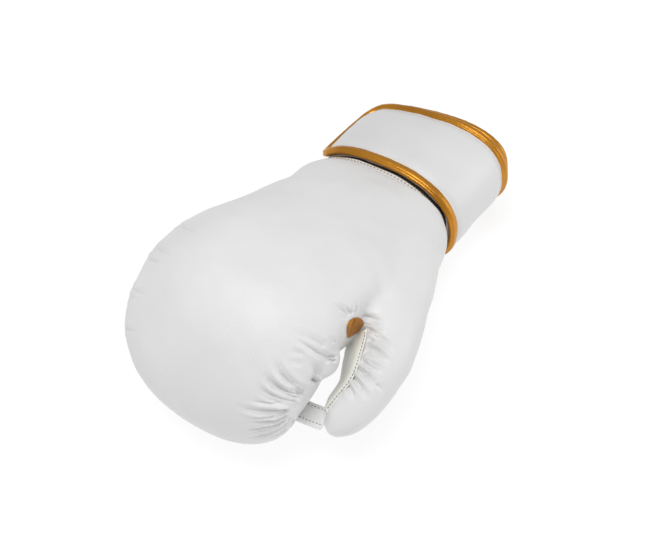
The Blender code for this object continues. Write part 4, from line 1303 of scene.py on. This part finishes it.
def plate(name, top, bottom, material, round_edge=PLATE_EDGE):
    """A thin piece between two grids, its rim drawn in to a rounded edge."""
    middle = (top + bottom) / 2
    rows, count = top.shape[:2]
    from_edge = np.minimum(steps_from_end(rows)[:, None], steps_from_end(count)[None, :])
    size = np.where(from_edge == 1, PLATE_SECOND_RING, 1.0)
    size = np.where(from_edge == 0, round_edge, size)[..., None]
    top, bottom = middle + (top - middle) * size, middle + (bottom - middle) * size
    return loft(name, np.concatenate([top, bottom[:, ::-1]], axis=1), material)


def make_panel(material):
    """The off-white strip on the thumb's inner side."""
    top = panel_grid(2 * SEAM_GAP + PANEL_THICKNESS, PANEL_MARGIN, *PANEL_GRID)
    bottom = panel_grid(-PANEL_SUNK, PANEL_MARGIN, *PANEL_GRID)
    obj = plate("thumb_side_panel", top, bottom, material)
    finish_piece(obj, 60, "panel_leather", "thumb_inner_panel")


def along_line(line, share):
    """Points at shares of the length of a line of a few corners."""
    line = np.array(line)
    passed = lengths_along(line)
    return read_line(line, passed, share * passed[-1])


def make_gusset(material, tree):
    """The gold piece in the crotch, draped on the skin and folded down its middle."""
    rows, count = GUSSET_GRID
    share = np.linspace(0, 1, rows)
    left, right = along_line(GUSSET_LEFT, share), along_line(GUSSET_RIGHT, share)
    u = np.linspace(0, 1, count)[None, :, None]
    pixels = left[:, None] * (1 - u) + right[:, None] * u
    eye = camera_axes()[0]
    rays = np.array([[pixel_ray(*pixel) for pixel in row] for row in pixels])
    reached = np.array([[tree.ray_cast(Vector(eye), Vector(ray))[3] for ray in row] for row in rays])
    depth = reached = reached.astype(float)
    for _ in range(GUSSET_SMOOTHED):
        grown = np.pad(depth, 1, mode="edge")
        around = grown[:-2, 1:-1] + grown[2:, 1:-1] + grown[1:-1, :-2] + grown[1:-1, 2:]
        depth = (around + 2 * depth) / 6
    start, end = np.array(GUSSET_CREASE)
    run = (end - start) / np.linalg.norm(end - start)
    off = (pixels[..., 0] - start[0]) * run[1] - (pixels[..., 1] - start[1]) * run[0]
    crease = GUSSET_CREASE_DEPTH * bell(off / GUSSET_CREASE_PIXELS)
    crease = crease + GUSSET_LOWER * np.clip(-off / GUSSET_LOWER_PIXELS, 0, 1)
    u = u[..., 0]
    edge = np.minimum(share[:, None], 1 - share[:, None]) * np.minimum(u, 1 - u) * GUSSET_EDGE
    depth = np.minimum(depth, reached) - GUSSET_LIFT - ease(edge) * (GUSSET_FULL - crease)
    front = eye + rays * depth[..., None] - MOVE
    back = eye + rays * (np.maximum(depth, reached) + GUSSET_THICKNESS)[..., None] - MOVE
    obj = plate("crotch_gusset", front, back, material, round_edge=GUSSET_ROUND_EDGE)
    finish_piece(obj, 60, "gold_leather", "thumb_gusset")


def tether_grid(lift):
    """The tether's middle surface, raised by lift."""
    at = thumb_point(TETHER_AT)
    rows, count = TETHER_GRID
    across = np.linspace(*TETHER_REACH, rows) * THUMB_THICKNESS / 2
    sag = np.linspace(-1, 1, rows) ** 2 * TETHER_SAG * TETHER_WIDTH
    grid = []
    for x, raised in zip(across, sag):
        y = np.linspace(-0.5, 0.5, count) * TETHER_WIDTH + TETHER_SLOPE * x
        down = TETHER_TILT * (y - TETHER_SLOPE * x)
        grid.append(at + np.stack([x + 0 * y, y, raised + lift + down], axis=1))
    return np.array(grid)


def make_tether(material):
    """The flat strap that ties the thumb's tip to the fist."""
    half = TETHER_THICKNESS / 2
    obj = plate("tip_tether", tether_grid(half), tether_grid(-half), material)
    finish_piece(obj, 60, "strap_leather", "thumb_tether")


def make_stitches(name, path, ups, material, slot, size=FINE_STITCH):
    """A row of short thread loops along a path, both ends of each sunk into the leather."""
    pitch, length, radius = size
    passed = lengths_along(path)
    turn = 2 * np.pi * np.arange(STITCH_SIDES) / STITCH_SIDES
    off_middle = np.linspace(-1, 1, STITCH_RINGS)
    bow = radius * (STITCH_BOW * (1 - off_middle**2) - STITCH_SUNK)
    thick = radius * np.sqrt(1 - STITCH_TAPER * off_middle**2)
    points, faces = [], []
    for at in np.arange(pitch / 2, passed[-1] - length / 2, pitch):
        centre = read_line(path, passed, at + length * np.linspace(-0.5, 0.5, STITCH_RINGS))
        up = read_line(ups, passed, at)
        up /= np.linalg.norm(up)
        along = centre[-1] - centre[0]
        along /= np.linalg.norm(along)
        side = np.cross(along, up)
        faces += tube_faces(STITCH_RINGS, STITCH_SIDES, start=len(points))
        for k in range(STITCH_RINGS):
            middle = centre[k] + up * bow[k]
            points += [middle + thick[k] * (math.cos(t) * side + math.sin(t) * up) for t in turn]
    obj = new_object(name, np.array(points) + MOVE, faces, material)
    face_outwards(obj)
    finish_piece(obj, 70, slot)


def add_stitches(gold, dark):
    """Every row of stitches on the glove."""
    angles = slit_angles(STITCH_ANGLES)
    rim = (cuff_length() - RIM_STITCHES_AT, 0.0)
    for name, (y, on_lip), size in (
        ("cuff_seam_stitches", SEAM_STITCHES, COARSE_STITCH),
        ("cuff_border_stitches", BORDER_STITCHES, FINE_STITCH),
        ("rim_stitches", rim, COARSE_STITCH),
    ):
        path, ups = cuff_points(angles, y, STITCH_LIFT + on_lip * LIP_HEIGHT)
        make_stitches(name, path, ups, gold, "gold_leather", size)
    rows = slice(PANEL_STITCH_ENDS, -PANEL_STITCH_ENDS)
    for name, column, margin in (
        ("panel_top_stitches", -1, PANEL_MARGIN),
        ("panel_low_stitches", 0, PANEL_LOW_MARGIN),
    ):
        grid = panel_grid(2 * SEAM_GAP + PANEL_THICKNESS, margin, *PANEL_STITCH_GRID)
        ups = grid - panel_grid(0, margin, *PANEL_STITCH_GRID)
        make_stitches(name, grid[rows, column], ups[rows, column], dark, "panel_leather")
    top = tether_grid(TETHER_THICKNESS / 2)
    ups = np.tile([0.0, 0.0, 1.0], (len(top), 1))
    for name, column in (("tether_back_stitches", 10), ("tether_front_stitches", 2)):
        make_stitches(name, top[:, column], ups, dark, "panel_leather")


def new_material(name):
    """A new material, its node tree and its shader."""
    material = bpy.data.materials.new(name)
    material.use_nodes = True
    return material, material.node_tree, material.node_tree.nodes["Principled BSDF"]


def set_inputs(node, values):
    """Sets the node's inputs by name or number."""
    for socket, value in values.items():
        node.inputs[socket].default_value = value


def add_node(tree, kind, values, links, **settings):
    """A new node with values and links at its inputs."""
    node = tree.nodes.new("ShaderNode" + kind)
    for name, value in settings.items():
        setattr(node, name, value)
    set_inputs(node, values)
    for socket, output in links.items():
        tree.links.new(output, node.inputs[socket])
    return node


def make_leather(name, colour, tint, roughness, grain=950, bump=0.28, metallic=0.0, coat=0.0):
    """Leather: a fine pebbled grain, slow changes of colour and uneven gloss."""
    material, tree, shader = new_material(name)
    set_inputs(shader, {"Metallic": metallic, "Coat Weight": coat, "Coat Roughness": COAT_ROUGHNESS})
    place = {"Vector": add_node(tree, "TexCoord", {}, {}).outputs["Object"]}
    pebbles = add_node(tree, "TexVoronoi", {"Scale": grain}, place)
    pores = add_node(tree, "TexNoise", {"Scale": grain * PORE_SCALE, "Detail": 4}, place)
    patches = add_node(tree, "TexNoise", {"Scale": PATCH_SCALE, "Detail": 3}, place)
    sources = {0: pebbles.outputs["Distance"], 2: pores.outputs["Fac"]}
    height = add_node(tree, "Math", {1: PORE_HEIGHT}, sources, operation="MULTIPLY_ADD")
    depth = {"Strength": bump, "Distance": GRAIN_DEPTH}
    relief = add_node(tree, "Bump", depth, {"Height": height.outputs["Value"]})
    blend = add_node(
        tree, "MapRange", {"From Min": 0.35, "From Max": 0.70}, {"Value": patches.outputs["Fac"]}
    )
    colours = {"A": (*colour, 1), "B": (*tint, 1)}
    mix = add_node(tree, "Mix", colours, {"Factor": blend.outputs["Result"]}, data_type="RGBA")
    span = {"To Min": roughness - 0.06, "To Max": roughness + 0.08}
    gloss = add_node(tree, "MapRange", span, {"Value": pores.outputs["Fac"]})
    tree.links.new(relief.outputs["Normal"], shader.inputs["Normal"])
    tree.links.new(mix.outputs["Result"], shader.inputs["Base Color"])
    tree.links.new(gloss.outputs["Result"], shader.inputs["Roughness"])
    return material


def make_thread(name, colour):
    """Twisted thread."""
    material, tree, shader = new_material(name)
    set_inputs(shader, {"Roughness": 0.6, "Base Color": (*colour, 1)})
    place = {"Vector": add_node(tree, "TexCoord", {}, {}).outputs["Object"]}
    twist = add_node(tree, "TexWave", {"Scale": THREAD_SCALE, "Distortion": 1.5}, place)
    depth = {"Strength": 0.4, "Distance": THREAD_DEPTH}
    relief = add_node(tree, "Bump", depth, {"Height": twist.outputs["Fac"]})
    tree.links.new(relief.outputs["Normal"], shader.inputs["Normal"])
    return material


def make_floor():
    """A plain pale floor."""
    material, _, shader = new_material("floor_white")
    set_inputs(shader, {"Base Color": (FLOOR_REFLECTS, FLOOR_REFLECTS, FLOOR_REFLECTS, 1)})
    set_inputs(shader, {"Roughness": 1.0, "Specular IOR Level": 0.0})
    set_inputs(shader, {"Emission Color": (1, 1, 1, 1), "Emission Strength": FLOOR_GLOWS})
    half, low = FLOOR_HALF, -FLOOR_DROP
    corners = [(-half, -half, low), (half, -half, low), (half, half, low), (-half, half, low)]
    new_object("floor", corners, [(0, 1, 2, 3)], material)


def area_light(name, place, aim, size, power):
    """A round softbox turned towards its aim."""
    data = bpy.data.lights.new(name, "AREA")
    data.shape = "DISK"
    data.size = size
    data.energy = power
    light = bpy.data.objects.new(name, data)
    light.location = place
    light.rotation_euler = (Vector(aim) - Vector(place)).to_track_quat("-Z", "Y").to_euler()
    bpy.context.scene.collection.objects.link(light)


def make_light():
    """Soft light from all round, and softboxes above, at the camera's side and at the thumb's side."""
    world = bpy.data.worlds.new("studio")
    bpy.context.scene.world = world
    world.use_nodes = True
    sky = world.node_tree.nodes["Background"]
    sky.inputs["Color"].default_value = (1.0, 1.0, 1.0, 1)
    sky.inputs["Strength"].default_value = SKY
    aim = LOOK_AT + MOVE
    axes = np.array(camera_axes()[1:])
    area_light("top_softbox", aim + np.array(TOP_PLACE), aim, TOP_SIZE, TOP_POWER)
    area_light("front_softbox", aim + np.array(FRONT_PLACE) @ axes, aim, FRONT_SIZE, FRONT_POWER)
    area_light("side_softbox", aim + np.array(SIDE_PLACE) @ axes, aim, SIDE_SIZE, SIDE_POWER)
    bpy.context.scene.view_settings.view_transform = "Standard"


def make_camera():
    """The camera at the photograph's angle."""
    place, _, _, back = camera_axes()
    data = bpy.data.cameras.new("camera")
    data.sensor_width = SENSOR_WIDTH
    data.lens = FOCAL_PIXELS * SENSOR_WIDTH / PHOTO_SIZE[0]
    data.shift_x = 0.5 - PHOTO_MIDDLE[0] / PHOTO_SIZE[0]
    data.shift_y = (PHOTO_MIDDLE[1] - PHOTO_SIZE[1] / 2) / PHOTO_SIZE[0]
    camera = bpy.data.objects.new("camera", data)
    camera.location = place
    camera.rotation_euler = Vector(-back).to_track_quat("-Z", "Y").to_euler()
    bpy.context.scene.collection.objects.link(camera)
    bpy.context.scene.camera = camera


def seam_place():
    """How far the glove is moved from its own place to the frame's."""
    angles = np.linspace(SLIT_ANGLE + SLIT_HALF_ANGLE, SLIT_ANGLE + 360 - SLIT_HALF_ANGLE, RIM_PLACES)
    rim, _ = cuff_points(angles, cuff_length())
    return np.array([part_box("cuff")[0].x - rim[:, 0].min(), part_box("hand_shell")[1].y, 0.0])


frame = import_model()
MOVE = seam_place()

white = make_leather("white_leather", (0.775, 0.775, 0.775), (0.74, 0.74, 0.74), 0.44)
strap_white = make_leather("strap_white_leather", (0.75, 0.75, 0.75), (0.72, 0.72, 0.725), 0.42, bump=0.2)
# The tether is the strap's white leather, made much lighter here as painted light against the shade it
# lies in between thumb and fist
tether_white_painted_light = make_leather("tether_leather", (0.93, 0.93, 0.92), (0.90, 0.90, 0.89), 0.45, bump=0.2)
# The panel's leather is really cream; it is made lighter than the glove's white as painted light against
# the shade between thumb and fist
cream = make_leather("cream_leather", (0.90, 0.90, 0.84), (0.86, 0.86, 0.79), 0.5, bump=0.3)
gold = make_leather(
    "gold_leather", (0.62, 0.265, 0.018), (0.48, 0.195, 0.011), 0.32, grain=1300, metallic=0.6, coat=0.08
)
lining = make_leather("lining", (0.70, 0.70, 0.69), (0.66, 0.66, 0.65), 0.7, grain=500)
gusset_gold = make_leather(
    "gusset_gold_leather", (0.50, 0.21, 0.010), (0.32, 0.12, 0.006), 0.42, grain=1300, metallic=0.5
)
# Near-black paint on the cuff under the strap's edge: a painted shadow standing in for the gap there
painted_shadow_strip = make_leather("painted_shadow_strip", (0.020, 0.016, 0.012), (0.012, 0.010, 0.008), 0.9, grain=1800)
gold_thread = make_thread("gold_thread", (0.40, 0.24, 0.07))
dark_thread = make_thread("dark_thread", (0.10, 0.09, 0.08))

skin_tree = make_skin(white, lining)
make_cuff(strap_white, painted_shadow_strip)
make_rim_binding(gold)
make_strap(strap_white)
make_strap_binding(gold)
make_panel(cream)
make_gusset(gusset_gold, skin_tree)
make_tether(tether_white_painted_light)
add_stitches(gold_thread, dark_thread)
make_floor()
make_light()
make_camera()
